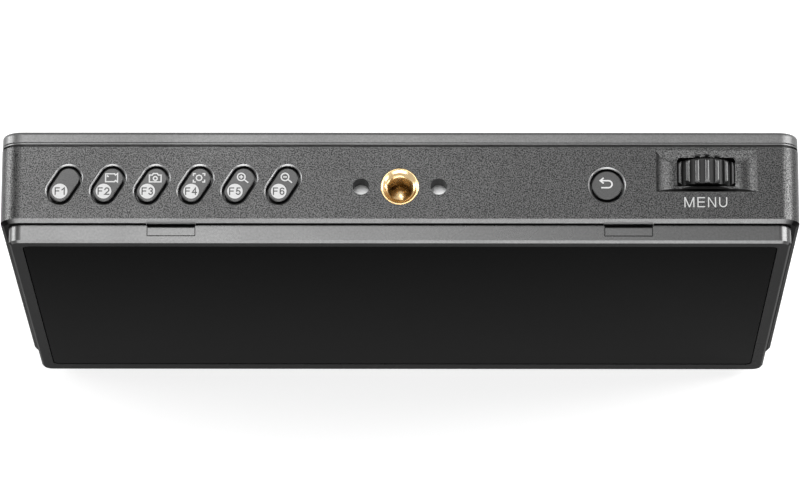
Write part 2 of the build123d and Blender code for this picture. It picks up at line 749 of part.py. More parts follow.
with BuildPart() as wheel_bracket:
    # C-shaped sheet bracket on the main board: a guide shelf above, a switch shelf below
    shelf_reach = wheel_y + yoke_half_depth
    half_length = yoke_half_width + wheel_bracket_side
    with BuildSketch(Plane.YZ.offset(wheel_x - half_length)):
        with BuildLine():
            Polyline((board_rear, shelf_top),
                     (shelf_reach, shelf_top),
                     (shelf_reach, shelf_top - wheel_bracket_wall),
                     (board_rear + wheel_bracket_wall, shelf_top - wheel_bracket_wall),
                     (board_rear + wheel_bracket_wall, switch_shelf),
                     (shelf_reach, switch_shelf),
                     (shelf_reach, switch_shelf - wheel_bracket_wall),
                     (board_rear, switch_shelf - wheel_bracket_wall), close=True)
        make_face()
    extrude(amount=2 * half_length)
    with BuildSketch(Plane.XY.offset(shelf_top)):
        with Locations((wheel_x, wheel_y)):
            Rectangle(yoke_post + 2 * yoke_post_gap, yoke_post + 2 * yoke_post_gap)
    extrude(amount=-wheel_bracket_wall, mode=Mode.SUBTRACT)
save(wheel_bracket, "wheel_bracket")

with BuildPart() as wheel_switch:
    with BuildSketch(Plane.XY.offset(switch_shelf)):
        with Locations((wheel_x, wheel_y)):
            Rectangle(switch_body, switch_body)
    extrude(amount=wheel_switch_height - switch_knob_height)
    with BuildSketch(Plane.XY.offset(switch_shelf + wheel_switch_height - switch_knob_height)):
        with Locations((wheel_x, wheel_y)):
            Rectangle(switch_knob, switch_knob)
    extrude(amount=switch_knob_height)
save(wheel_switch, "wheel_switch")

# ------------------------------------------------------------------ main board and what it carries
with BuildPart() as main_board:
    with BuildSketch(front_sketch(board_front)):
        with Locations((0, (board_bottom_gap + board_high) / 2)):
            RectangleRounded(2 * board_half_width, board_high - board_bottom_gap, board_corner)
        with Locations(standoffs):
            Circle(screw_radius, mode=Mode.SUBTRACT)
    extrude(amount=-board_thickness)
save(main_board, "main_board")

with BuildPart() as board_screws:
    with BuildSketch(front_sketch(board_front - board_screw_tail)):
        with Locations(standoffs):
            Circle(screw_radius - thread_gap)
    extrude(amount=-(board_thickness + board_screw_tail))
    with BuildSketch(front_sketch(board_rear)):
        with Locations(standoffs):
            Circle(screw_head_radius)
    extrude(amount=-screw_head_height)
save(board_screws, "board_screws")

# centre X, rise of the centre above mid height, width and height of each package
chips = [(38, 3, 20, 20), (60, 5, 10, 12), (58, -15, 12, 9),
         (-20, 8, 16, 16), (-44, -28, 9, 9), (8, -30, 12, 7)]
with BuildPart() as board_chips:
    for x, rise, across, tall in chips:
        with BuildSketch(front_sketch(board_rear)):
            with Locations((x, mid_z + rise)):
                Rectangle(across, tall)
        extrude(amount=-chip_height)
save(board_chips, "board_chips")

with BuildPart() as heat_spreader:
    spreader_y = board_rear + chip_height
    with BuildSketch(front_sketch(spreader_y)):
        with Locations(spreader_center):
            RectangleRounded(*spreader_size, spreader_corner)
    extrude(amount=-spreader_base)
    fin_pitch = (spreader_size[0] - fin_thickness) / (fin_count - 1)
    with BuildSketch(front_sketch(spreader_y + spreader_base)):
        with Locations(spreader_center):
            with GridLocations(fin_pitch, 0, fin_count, 1):
                Rectangle(fin_thickness, spreader_size[1])
    extrude(amount=-(y_rear - fin_gap - spreader_y - spreader_base))
save(heat_spreader, "heat_spreader")

# ------------------------------------------------------------------ sockets
socket_face = width / 2 - socket_recess
for name, z in zip(("video_in_socket", "video_out_socket"), video_z):
    with BuildPart() as video_socket:
        with BuildSketch(Plane.YZ.offset(-socket_face)):
            with Locations((socket_y, z)):
                Rectangle(video_size[1], video_size[0])
        extrude(amount=video_depth)
        # D-shaped mouth with cut lower corners, and the tongue inside it
        with BuildSketch(Plane.YZ.offset(-socket_face)):
            with Locations((socket_y, z)):
                mouth = Rectangle(video_size[1] - 2 * video_shell, video_size[0] - 2 * video_shell)
                chamfer(mouth.vertices().group_by(Axis.X)[0], video_mouth_cut)
                with Locations((video_tongue_shift, 0)):
                    Rectangle(video_tongue[1], video_tongue[0], mode=Mode.SUBTRACT)
        extrude(amount=video_mouth_depth, mode=Mode.SUBTRACT)
    save(video_socket, name)

with BuildPart() as usb_socket:
    with BuildSketch(Plane.YZ.offset(-socket_face)):
        with Locations((usb_y, usb_z)):
            SlotOverall(*usb_size, rotation=90)
    extrude(amount=usb_depth)
    with BuildSketch(Plane.YZ.offset(-socket_face)):
        with Locations((usb_y, usb_z)):
            SlotOverall(usb_size[0] - 2 * usb_shell, usb_size[1] - 2 * usb_shell, rotation=90)
            Rectangle(usb_tongue[1], usb_tongue[0], mode=Mode.SUBTRACT)
    extrude(amount=usb_mouth_depth, mode=Mode.SUBTRACT)
save(usb_socket, "usb_socket")

with BuildPart() as phones_socket:
    with BuildSketch(Plane.YZ.offset(-socket_face + phones_collar_length)):
        with Locations((phones_y, phones_z)):
            Rectangle(phones_body[1], phones_body[0])
    extrude(amount=phones_body[2])
    with BuildSketch(Plane.YZ.offset(-socket_face)):
        with Locations((phones_y, phones_z)):
            Circle(phones_radius - phones_collar_gap)
    extrude(amount=phones_collar_length)
    with BuildSketch(Plane.YZ.offset(-socket_face)):
        with Locations((phones_y, phones_z)):
            Circle(phones_bore)
    extrude(amount=phones_bore_depth, mode=Mode.SUBTRACT)
save(phones_socket, "phones_socket")

with BuildPart() as power_inlet:
    with BuildSketch(Plane.YZ.offset(socket_face)):
        with Locations((dc_y, dc_z)):
            Rectangle(dc_size[1], dc_size[0])
    extrude(amount=-dc_depth)
    with BuildSketch(Plane.YZ.offset(socket_face)):
        with Locations((dc_y, dc_z)):
            Circle(dc_mouth_radius)
            Circle(dc_pin_radius, mode=Mode.SUBTRACT)
    extrude(amount=-dc_mouth_depth, mode=Mode.SUBTRACT)
save(power_inlet, "power_inlet")

# ------------------------------------------------------------------ power key
with BuildPart() as power_key:
    flange_x = inner_side - key_rest_gap
    with BuildSketch(Plane.YZ.offset(flange_x)):
        with Locations((power_y, power_z)):
            Circle(power_radius)
    extrude(amount=width / 2 - flange_x - power_sink)
    chamfer(power_key.faces().sort_by(Axis.X)[-1].edges(), key_round)
    with BuildSketch(Plane.YZ.offset(flange_x)):
        with Locations((power_y, power_z)):
            Circle(power_radius + power_gap + key_flange)
    extrude(amount=-key_flange_thickness)
    with BuildSketch(Plane.YZ.offset(flange_x - key_flange_thickness)):
        with Locations((power_y, power_z)):
            Rectangle(stub_width, stub_width)
    extrude(amount=-power_stub)
save(power_key, "power_key")

with BuildPart() as power_switch:
    knob_x = flange_x - key_flange_thickness - power_stub - key_travel - knob_gap
    with BuildSketch(Plane.YZ.offset(knob_x)):
        with Locations((power_y, power_z)):
            Rectangle(switch_knob, switch_knob)
    extrude(amount=-switch_knob_height)
    with BuildSketch(Plane.YZ.offset(knob_x - switch_knob_height)):
        with Locations(((board_rear + power_y + power_switch_reach) / 2, power_z)):
            Rectangle(power_y + power_switch_reach - board_rear, power_switch_width)
    extrude(amount=-power_switch_depth)
save(power_switch, "power_switch")

# ------------------------------------------------------------------ rear cover
with BuildPart() as rear_cover:
    y_cover = y_rear + cover_gap + cover_lip + score_width
    cover = (width - 2 * cover_inset, height - 2 * cover_inset)
    rounded_plate(y_cover, y_back - y_cover, cover, corner_radius - cover_inset)
    fillet(rear_cover.faces().sort_by(Axis.Y)[-1].edges(), cover_round)
    chamfer(rear_cover.faces().sort_by(Axis.Y)[0].edges(), cover_edge)
    # set-in seat on the housing, thin lip and score line in front of the cover's edge
    y_layer = y_rear
    for depth, set_in in ((cover_gap, parting_depth), (cover_lip, 0), (score_width, score_depth)):
        layer = (cover[0] - 2 * set_in, cover[1] - 2 * set_in)
        rounded_plate(y_layer, depth, layer, corner_radius - cover_inset - set_in)
        y_layer += depth
    # inner pocket that leaves a wall of even thickness
    pocket = (width - 2 * pocket_rim[0], height - 2 * pocket_rim[1])
    rounded_plate(y_rear, cover_depth - cover_wall, pocket, pocket_corner, mode=Mode.SUBTRACT)
    # pocket of the battery latch, carried inwards by a boss
    latch_room = (latch_size[0] + 2 * latch_room_side, latch_size[1] + 2 * latch_room_side)
    latch_bottom = y_back - latch_gap - latch_flange - latch_travel - latch_room_gap
    with BuildSketch(front_sketch(latch_bottom - latch_floor)):
        with Locations((0, latch_z)):
            latch_boss = (latch_room[0] + 2 * latch_wall, latch_room[1] + 2 * latch_wall)
            RectangleRounded(*latch_boss, latch_boss_corner)
    extrude(amount=-(y_back - latch_bottom + latch_floor))
    with BuildSketch(front_sketch(latch_bottom)):
        with Locations((0, latch_z)):
            RectangleRounded(*latch_room, latch_room_corner)
    extrude(amount=-(y_back - latch_bottom), mode=Mode.SUBTRACT)
    # louvres over the heat spreader and the board
    with BuildSketch(front_sketch(y_rear)):
        with Locations((-vent_x, vent_z), (vent_x, vent_z)):
            with GridLocations(vent_pitch, 0, vent_count, 1):
                SlotOverall(vent_length, vent_width, rotation=90)
    extrude(amount=-cover_depth, mode=Mode.SUBTRACT)
    # screw holes with sunk heads
    with BuildSketch(front_sketch(y_rear)):
        with Locations(screw_places):
            Circle(screw_radius + screw_gap)
    extrude(amount=-cover_depth, mode=Mode.SUBTRACT)
    with BuildSketch(front_sketch(y_back)):
        with Locations(screw_places):
            Circle(screw_head_radius + screw_head_gap)
    extrude(amount=screw_head_height + screw_head_sink, mode=Mode.SUBTRACT)
save(rear_cover, "rear_cover")

with BuildPart() as cover_screws:
    head_y = y_back - screw_head_sink - screw_head_height
    with BuildSketch(front_sketch(head_y)):
        with Locations(screw_places):
            Circle(screw_head_radius)
    extrude(amount=-screw_head_height)
    with BuildSketch(front_sketch(head_y)):
        with Locations(screw_places):
            Circle(screw_radius - thread_gap)
    extrude(amount=head_y - y_rear + screw_reach - screw_tip_gap)
save(cover_screws, "cover_screws")

# ------------------------------------------------------------------ battery plate, contacts and latch
with BuildPart() as battery_plate:
    rounded_plate(y_back, plate_base, plate_size, plate_corner, plate_z)
    island = (plate_island_width, island_high - island_low)
    island_z = (island_low + island_high) / 2
    rounded_plate(plate_face, plate_island, island, plate_island_corner, island_z)
    # hooks that the battery's grooves slide under
    hook_width = plate_island_width / 2 + hook_overhang
    for side in (-1, 1):
        with BuildSketch(front_sketch(island_face)):
            with Locations((side * (hook_width - hook_reach / 2), plate_z)):
                with GridLocations(0, hook_spacing, 1, 2):
                    Rectangle(hook_reach, hook_length)
        extrude(amount=-hook_height)
    # block that holds the contact blades at the lower end
    with BuildSketch(front_sketch(plate_face)):
        with Locations((0, terminal_z)):
            RectangleRounded(terminal_size[0], terminal_size[1], terminal_corner)
    extrude(amount=-terminal_size[2])
    # seats of the blades
    with BuildSketch(Plane.XY.offset(terminal_top)):
        with Locations(blade_places):
            Rectangle(blade_size[0] + 2 * blade_seat_gap[0], blade_size[2] + 2 * blade_seat_gap[0])
    extrude(amount=-(blade_seat + blade_seat_gap[1]), mode=Mode.SUBTRACT)
    # opening of the latch, and the four screw holes
    with BuildSketch(front_sketch(y_back)):
        with Locations((0, latch_z)):
            latch_opening = (latch_size[0] + 2 * latch_gap, latch_size[1] + 2 * latch_gap)
            RectangleRounded(*latch_opening, latch_opening_corner)
    extrude(amount=-(plate_base + plate_island), mode=Mode.SUBTRACT)
    plate_screw_places = [(side * plate_screw_x, plate_z + rise)
                          for side in (-1, 1) for rise in plate_screw_rise]
    with BuildSketch(front_sketch(y_back)):
        with Locations(plate_screw_places):
            Circle(screw_radius + plate_screw_gap)
    extrude(amount=-(plate_base + plate_island), mode=Mode.SUBTRACT)
    with BuildSketch(front_sketch(island_face)):
        with Locations(plate_screw_places):
            Circle(screw_head_radius + screw_head_gap)
    extrude(amount=screw_head_height + screw_head_sink, mode=Mode.SUBTRACT)
save(battery_plate, "battery_plate")

with BuildPart() as plate_screws:
    head_y = island_face - screw_head_sink - screw_head_height
    with BuildSketch(front_sketch(head_y)):
        with Locations(plate_screw_places):
            Circle(screw_head_radius)
    extrude(amount=-screw_head_height)
    with BuildSketch(front_sketch(head_y)):
        with Locations(plate_screw_places):
            Circle(screw_radius)
    extrude(amount=head_y - y_back)
save(plate_screws, "plate_screws")

with BuildPart() as battery_contacts:
    with BuildSketch(Plane.XY.offset(terminal_top - blade_seat)):
        with Locations(blade_places):
            Rectangle(blade_size[0], blade_size[2])
    extrude(amount=blade_size[1])
save(battery_contacts, "battery_contacts")

with BuildPart() as battery_latch:
    # wedge that the battery rides over, with a flat finger pad above it
    latch_low = latch_z - latch_size[1] / 2
    latch_high = latch_z + latch_size[1] / 2
    with BuildSketch(Plane.YZ.offset(-latch_size[0] / 2)):
        with BuildLine():
            Polyline((y_back, latch_low),
                     (island_face + latch_tooth, latch_low),
                     (island_face + latch_tooth, latch_low + latch_tooth_flat),
                     (island_face + latch_pad, latch_low + latch_ramp_end),
                     (island_face + latch_pad, latch_high),
                     (y_back, latch_high), close=True)
        make_face()
    extrude(amount=latch_size[0])
    # grip ribs on the finger pad
    rib_tops = [latch_high - latch_rib_inset[1] - k * latch_rib_pitch for k in range(latch_ribs)]
    with BuildSketch(Plane.YZ.offset(-latch_size[0] / 2 + latch_rib_inset[0])):
        with Locations([(island_face + latch_pad, z) for z in rib_tops]):
            Circle(latch_rib_radius)
    extrude(amount=latch_size[0] - 2 * latch_rib_inset[0])
    with BuildSketch(front_sketch(y_back - latch_flange_gap - latch_flange)):
        with Locations((0, latch_z)):
            flange = (latch_size[0] + 2 * latch_flange_reach, latch_size[1] + 2 * latch_flange_reach)
            RectangleRounded(*flange, latch_opening_corner)
    extrude(amount=-latch_flange)
    with BuildSketch(front_sketch(y_back - latch_flange_gap)):
        with Locations((0, latch_z)):
            Rectangle(*latch_size)
    extrude(amount=-latch_flange_gap)
save(battery_latch, "battery_latch")
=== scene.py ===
import json
from math import cos, hypot, pi, radians, sin

import bpy
from mathutils import Matrix, Vector
from mathutils.geometry import delaunay_2d_cdt


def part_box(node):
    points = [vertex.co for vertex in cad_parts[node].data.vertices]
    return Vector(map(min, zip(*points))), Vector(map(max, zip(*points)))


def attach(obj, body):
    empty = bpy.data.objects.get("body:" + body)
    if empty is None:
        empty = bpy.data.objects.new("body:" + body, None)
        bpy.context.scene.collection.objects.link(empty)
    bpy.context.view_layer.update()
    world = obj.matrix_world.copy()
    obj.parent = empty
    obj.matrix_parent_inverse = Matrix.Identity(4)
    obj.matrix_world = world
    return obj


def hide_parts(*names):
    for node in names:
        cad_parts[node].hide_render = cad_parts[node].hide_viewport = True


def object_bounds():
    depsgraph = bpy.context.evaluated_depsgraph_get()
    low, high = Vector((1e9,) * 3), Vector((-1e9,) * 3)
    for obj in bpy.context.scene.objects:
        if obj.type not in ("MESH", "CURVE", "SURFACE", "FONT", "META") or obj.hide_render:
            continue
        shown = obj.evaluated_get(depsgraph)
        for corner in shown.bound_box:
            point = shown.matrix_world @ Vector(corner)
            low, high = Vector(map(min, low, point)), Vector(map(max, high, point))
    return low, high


# A field monitor that stands on its lower edge, seen steeply from above and a little from in front.
# Places and sizes are in millimetres in the part's frame: X right, Y back, Z up.
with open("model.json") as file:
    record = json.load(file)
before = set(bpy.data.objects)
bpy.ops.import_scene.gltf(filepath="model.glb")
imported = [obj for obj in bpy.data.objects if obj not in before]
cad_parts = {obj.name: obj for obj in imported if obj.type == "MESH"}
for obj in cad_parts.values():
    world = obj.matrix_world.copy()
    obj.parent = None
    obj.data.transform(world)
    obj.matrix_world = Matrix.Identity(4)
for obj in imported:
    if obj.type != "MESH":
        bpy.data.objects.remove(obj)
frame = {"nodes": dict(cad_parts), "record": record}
cad_low, cad_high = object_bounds()
scene = bpy.context.scene
MM = 0.001


def node_box(node):
    """Lowest and highest corner of a CAD node, in millimetres."""
    low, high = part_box(node)
    return low / MM, high / MM


# ------------------------------------------------------------------ camera
CAMERA_PLACE = (7.4, -346.35, 1240.1)
CAMERA_TURN = (16.397, 0.358, 0.04)      # degrees about X, Y and Z
CAMERA_LENS = 230.3
SENSOR_WIDTH = 36.0


def make_camera():
    """The camera, high above the top wall and a little in front of the screen."""
    data = bpy.data.cameras.new("camera")
    data.lens = CAMERA_LENS
    data.sensor_width = SENSOR_WIDTH
    camera = bpy.data.objects.new("camera", data)
    turns = [Matrix.Rotation(radians(angle), 4, axis) for angle, axis in zip(CAMERA_TURN, "XYZ")]
    camera.matrix_world = Matrix.Translation(Vector(CAMERA_PLACE) * MM) @ turns[0] @ turns[1] @ turns[2]
    scene.collection.objects.link(camera)
    scene.camera = camera


# ------------------------------------------------------------------ colours and finishes
PLAIN_IOR = 1.5
DULL_IOR = 1.03                          # of painted faces, which mirror next to nothing
GLASS_IOR = 1.015
MASK_EDGE = 0.01                         # a mask fades over this length on either side of its place


def shown(level):
    """The linear value of a grey that shows as this level from 0 to 255."""
    value = level / 255
    return value / 12.92 if value <= 0.04045 else ((value + 0.055) / 1.055) ** 2.4


def colour(red, green=None, blue=None):
    """A linear colour with alpha from levels as they show, or a grey from one level."""
    green = red if green is None else green
    blue = red if blue is None else blue
    return (shown(red), shown(green), shown(blue), 1.0)


class Finish:
    """One procedural material: a Principled surface and the nodes that vary it."""

    def __init__(self, name, roughness, metallic=0.0, ior=PLAIN_IOR):
        self.name = name
        self.material = bpy.data.materials.new(name)
        self.material.use_nodes = True
        self.tree = self.material.node_tree
        self.surface = self.tree.nodes["Principled BSDF"]
        self.surface.inputs["Roughness"].default_value = roughness
        self.surface.inputs["Metallic"].default_value = metallic
        self.surface.inputs["IOR"].default_value = ior
        self.coordinates = self.add("ShaderNodeTexCoord").outputs
        self.parts = {}

    def add(self, kind, **settings):
        """A node of this kind with its settings."""
        node = self.tree.nodes.new(kind)
        for name, value in settings.items():
            setattr(node, name, value)
        return node

    def link(self, output, socket):
        """Feed a socket of the surface by its name, or any other socket."""
        self.tree.links.new(output, self.surface.inputs[socket] if isinstance(socket, str) else socket)

    def feed(self, value, socket):
        """Set a socket to a plain value, or feed it from another node's output."""
        if isinstance(value, (int, float, tuple)):
            socket.default_value = value
        else:
            self.link(value, socket)

    # what varies over the surface
    def part(self, kind, letter):
        """X, Y or Z of one kind of coordinates."""
        if kind not in self.parts:
            node = self.add("ShaderNodeSeparateXYZ")
            self.link(self.coordinates[kind], node.inputs["Vector"])
            self.parts[kind] = node.outputs
        return self.parts[kind][letter]

    def axis(self, letter):
        """One coordinate of the place, in metres."""
        return self.part("Object", letter)

    def aside(self):
        """How far the place is from the middle plane, to either side, in metres."""
        return self.math("ABSOLUTE", self.axis("X"))

    def facing(self, letter):
        """How far the surface faces along an axis, from -1 to 1."""
        return self.part("Normal", letter)

    def noise(self, size, detail=2.0, stretch=(1, 1, 1)):
        """Noise from 0 to 1 whose features are about size millimetres across."""
        mapping = self.add("ShaderNodeMapping")
        mapping.inputs["Scale"].default_value = [1 / (factor * size * MM) for factor in stretch]
        self.link(self.coordinates["Object"], mapping.inputs["Vector"])
        node = self.add("ShaderNodeTexNoise")
        node.inputs["Scale"].default_value = 1.0
        node.inputs["Detail"].default_value = detail
        self.link(mapping.outputs["Vector"], node.inputs["Vector"])
        return node.outputs["Fac"]

    # sums and masks
    def math(self, operation, *values):
        """One operation of the maths node on outputs or plain numbers."""
        node = self.add("ShaderNodeMath", operation=operation)
        for socket, value in zip(node.inputs, values):
            self.feed(value, socket)
        return node.outputs["Value"]

    def spread(self, value, low, high, start=0.3, end=0.7):
        """A value from start to end spread over low to high, and held there outside it."""
        node = self.add("ShaderNodeMapRange")
        self.link(value, node.inputs["Value"])
        for name, number in zip(("From Min", "From Max", "To Min", "To Max"), (start, end, low, high)):
            node.inputs[name].default_value = number
        return node.outputs["Result"]

    def rising(self, value, start, end):
        """0 up to start and 1 from end."""
        return self.spread(value, 0, 1, start, end)

    def falling(self, value, start, end):
        """1 up to start and 0 from end."""
        return self.spread(value, 1, 0, start, end)

    def above(self, place, level):
        """1 where a coordinate is over this many millimetres."""
        return self.rising(place, (level - MASK_EDGE) * MM, (level + MASK_EDGE) * MM)

    def below(self, place, level):
        """1 where a coordinate is under this many millimetres."""
        return self.falling(place, (level - MASK_EDGE) * MM, (level + MASK_EDGE) * MM)

    def between(self, place, low, high):
        """1 where a coordinate is between two numbers of millimetres."""
        return self.all_of(self.above(place, low), self.below(place, high))

    def within(self, value, low, high, edge):
        """1 between two numbers and 0 outside them, with a soft edge this wide."""
        rising = self.rising(value, low - edge / 2, low + edge / 2)
        falling = self.falling(value, high - edge / 2, high + edge / 2)
        return self.all_of(rising, falling)

    def all_of(self, mask, *others):
        """1 where every one of the masks is 1."""
        for other in others:
            mask = self.math("MULTIPLY", mask, other)
        return mask

    def any_of(self, first, second):
        """1 where either mask is 1."""
        return self.math("MAXIMUM", first, second)

    def outside(self, mask):
        """1 where the mask is 0."""
        return self.falling(mask, 0, 1)

    # colour and relief
    def blend(self, factor, first, second):
        """A colour between two, each a colour or another node's output."""
        node = self.add("ShaderNodeMix", data_type="RGBA")
        self.link(factor, node.inputs["Factor"])
        for name, value in (("A", first), ("B", second)):
            self.feed(value, next(s for s in node.inputs if s.name == name and s.type == "RGBA"))
        return next(s for s in node.outputs if s.type == "RGBA")

    def mottle(self, noise, dark, light, start=0.3, end=0.7):
        """A colour that goes from dark to light while a noise goes from start to end."""
        return self.blend(self.rising(noise, start, end), dark, light)

    def smear(self, size, low, high, detail=2.0):
        """Let the roughness drift between two values over about size millimetres."""
        self.link(self.spread(self.noise(size, detail), low, high), "Roughness")

    def bump(self, height, depth):
        """Raise the surface by a height from 0 to 1, depth millimetres at most."""
        node = self.add("ShaderNodeBump")
        node.inputs["Distance"].default_value = depth * MM
        self.link(height, node.inputs["Height"])
        self.link(node.outputs["Normal"], "Normal")


def grained(name, dark, light, roughness, metallic, grain, depth, swing=0.04):
    """A blasted or moulded finish: fine grain in colour and height, and slow mottling in roughness."""
    finish = Finish(name, roughness, metallic)
    fine = finish.noise(grain, 3.0)
    finish.link(finish.mottle(fine, dark, light), "Base Color")
    finish.smear(22.0, roughness - swing, roughness + swing)
    finish.bump(fine, depth)
    return finish


# ------------------------------------------------------------------ where the metals' finish changes, and where shade and light are painted on them
CHAMFER_LEAN = (0.5, 0.9, 0.1)           # how far a chamfer faces along one axis, and the mask's edge
WALL_LEAN = (0.3, 0.4)                   # a wall faces up less than this
FRONT_LEAN = (0.5, 0.66)                 # and the housing's faces with painted shade less than this
FORWARD = (-0.65, -0.55)                 # a forward face faces along Y less than this
UNSHADED_METAL = (-0.95, -0.85)                    # and the bezel is bare metal where it faces along Y more, with painted shade where it faces along Y less
FRONT_CHAMFER = 0.9                      # the housing's front chamfer lies within this of its front
REAR_CHAMFER = 0.35
FRONT_LENGTH = 2.0                       # and its faces with painted shade within this
KEYS_X = (-84.0, 57.0)                   # the key openings lie within these
KEYS_Y = (-5.6, 6.6)
KEY_RIM = 0.4                            # and their rims within this depth
HOOD_SLOTS_X = (46.9, 58.3)              # the hood slots lie within these, on either side
HOOD_SLOTS_Z = 5.0                       # and within this depth
HOOD_FLAT = 2.9                          # length along Y of the flat in front of each, with its seam
HOOD_SEAM = 0.04                         # depth from which that seam is dark
SCOOP_X = (59.0, 82.0)                   # the wheel's scoop
SCOOP_FRONT = (-3.0, 1.1)                # the shade at its front, along Y where it is widest
SCOOP_BOW = 0.024                        # how fast the shade narrows towards its ends
SCOOP_SHADE = 0.1                        # depth from which there is shade
SLOPE_LEAN = (0.1, 0.3)                  # the scoop's left slope faces along X more than this
SLOPE_TOP = 0.15                         # depth from which shade is painted on it
SLOPE_STRENGTH = 0.5
PIN_HOLE_X = 8.93                        # the locating holes, on either side
PIN_HOLE_DIAMETER = 3.85
PIN_HOLE_DEPTH = 5.0
PIN_HOLE_MARGIN = 2.0                    # half the square round each hole that its mask covers
SCORE_LINE = (0.54, 0.76)                # along Y from the foremost edge of the cover
SCORE_EDGE = 0.01


def machined_chamfers(finish, low, high):
    """The bright chamfers beside the bezel and beside the cover."""
    lean = finish.within(finish.math("ABSOLUTE", finish.facing("Y")), *CHAMFER_LEAN)
    front = finish.below(finish.axis("Y"), low.y + FRONT_CHAMFER)
    rear = finish.above(finish.axis("Y"), high.y - REAR_CHAMFER)
    return finish.all_of(lean, finish.any_of(front, rear))


def key_rims(finish, high):
    """The chamfered rims of the key openings."""
    lean = finish.within(finish.facing("Z"), *CHAMFER_LEAN)
    upper = finish.above(finish.axis("Z"), high.z - KEY_RIM)
    across = finish.between(finish.axis("X"), *KEYS_X)
    return finish.all_of(lean, upper, across, finish.between(finish.axis("Y"), *KEYS_Y))


def forward_faces(finish, start, end):
    """Faces and chamfers that look forwards, less and less as they face up from start to end, for painted
    shade.
    """
    forward = finish.falling(finish.facing("Y"), *FORWARD)
    return finish.all_of(forward, finish.falling(finish.facing("Z"), start, end))


def beside_hood_slots(finish):
    """The stretches of X that the two hood slots take up."""
    return finish.between(finish.aside(), *HOOD_SLOTS_X)


def scoop_slope(finish, high):
    """The slope of the scoop left of the wheel, in part, where shade is painted."""
    slope = finish.spread(finish.facing("X"), 0, SLOPE_STRENGTH, *SLOPE_LEAN)
    lower = finish.below(finish.axis("Z"), high.z - SLOPE_TOP)
    return finish.all_of(slope, finish.between(finish.axis("X"), *SCOOP_X), lower)


def scoop_shade(finish, high):
    """The crescent of shade between the wheel and the front of its scoop."""
    across = finish.math("SUBTRACT", finish.axis("X"), sum(SCOOP_X) / 2 * MM)
    bow = finish.math("MULTIPLY", finish.math("POWER", across, 2), SCOOP_BOW / MM)
    crescent = finish.between(finish.math("ADD", finish.axis("Y"), bow), *SCOOP_FRONT)
    lower = finish.below(finish.axis("Z"), high.z - SCOOP_SHADE)
    return finish.all_of(finish.between(finish.axis("X"), *SCOOP_X), crescent, lower)


def pin_hole_walls(finish):
    """The walls of the locating holes beside the tripod threads, where shade is painted."""
    across = finish.between(finish.aside(), PIN_HOLE_X - PIN_HOLE_MARGIN, PIN_HOLE_X + PIN_HOLE_MARGIN)
    along = finish.between(finish.axis("Y"), -PIN_HOLE_MARGIN, PIN_HOLE_MARGIN)
    upright = finish.falling(finish.math("ABSOLUTE", finish.facing("Z")), *WALL_LEAN)
    return finish.all_of(across, along, upright)


# ------------------------------------------------------------------ materials
BLASTED_DARK = 28                        # levels as they show, from 0 to 255
BLASTED_LIGHT = 78
MACHINED_DARK = 74
MACHINED_LIGHT = 92
KEY_RIM_LEVEL = 130
# painted shade on the front faces of the housing
FRONT_LEVEL = 14
# painted light on the backs of the hood slots
HOOD_SLOT_LEVEL = 150
# painted shade on the scoop's left slope
SLOPE_LEVEL = 24
# painted shade in the front of the wheel's scoop and on the walls of the locating holes
SHADE_LEVEL = 22


def make_housing_metal():
    """Dark grey blasted aluminium: brighter where it is machined, with painted shade in front, in its holes
    and in the wheel's scoop, and painted light on the backs of the hood slots.
    """
    finish = Finish("housing_metal", 0.35, 1.0, DULL_IOR)
    low, high = node_box("main_housing")
    fine = finish.noise(0.26)
    metal = finish.mottle(fine, colour(BLASTED_DARK), colour(BLASTED_LIGHT), 0.36, 0.64)
    machined = finish.mottle(fine, colour(MACHINED_DARK), colour(MACHINED_LIGHT))
    metal = finish.blend(machined_chamfers(finish, low, high), metal, machined)
    metal = finish.blend(key_rims(finish, high), metal, colour(KEY_RIM_LEVEL))
    # painted shade on the front and its side chamfers, but painted light on the backs of the hood slots
    near = finish.below(finish.axis("Y"), low.y + FRONT_LENGTH)
    front = finish.all_of(forward_faces(finish, *FRONT_LEAN), near)
    slots = finish.all_of(beside_hood_slots(finish), finish.above(finish.axis("Z"), high.z - HOOD_SLOTS_Z))
    metal = finish.blend(front, metal, finish.blend(slots, colour(FRONT_LEVEL), colour(HOOD_SLOT_LEVEL)))
    # painted shade on the scoop's left slope
    metal = finish.blend(scoop_slope(finish, high), metal, colour(SLOPE_LEVEL))
    # painted shade in the front of the wheel's scoop and on the walls of the locating holes
    shade = finish.any_of(scoop_shade(finish, high), pin_hole_walls(finish))
    finish.link(finish.blend(shade, metal, colour(SHADE_LEVEL)), "Base Color")
    finish.link(finish.outside(front), "Metallic")
    finish.smear(22.0, 0.32, 0.38)
    finish.bump(fine, 0.03)
    return finish


def make_bezel_metal():
    """Satin grey aluminium, with painted shade on the face round the glass and on the side chamfers, and dark
    in the seams.
    """
    finish = Finish("bezel_metal", 0.28, 1.0, DULL_IOR)
    _, high = node_box("front_bezel")
    fine = finish.noise(0.5, 3.0)
    # painted shade on the side chamfers
    sides = forward_faces(finish, *WALL_LEAN)
    lower = finish.below(finish.axis("Z"), high.z - HOOD_SEAM)
    rear = finish.above(finish.axis("Y"), high.y - HOOD_FLAT)
    seams = finish.all_of(lower, rear, beside_hood_slots(finish))
    unshaded_metal = finish.rising(finish.facing("Y"), *UNSHADED_METAL)
    satin = finish.mottle(fine, colour(72), colour(80))
    satin = finish.blend(sides, satin, colour(34))
    satin = finish.blend(seams, satin, colour(30))
    # painted shade on the face round the glass
    finish.link(finish.blend(unshaded_metal, colour(38), satin), "Base Color")
    finish.link(finish.all_of(unshaded_metal, finish.outside(sides)), "Metallic")
    finish.smear(15.0, 0.26, 0.3)
    finish.bump(fine, 0.002)
    return finish


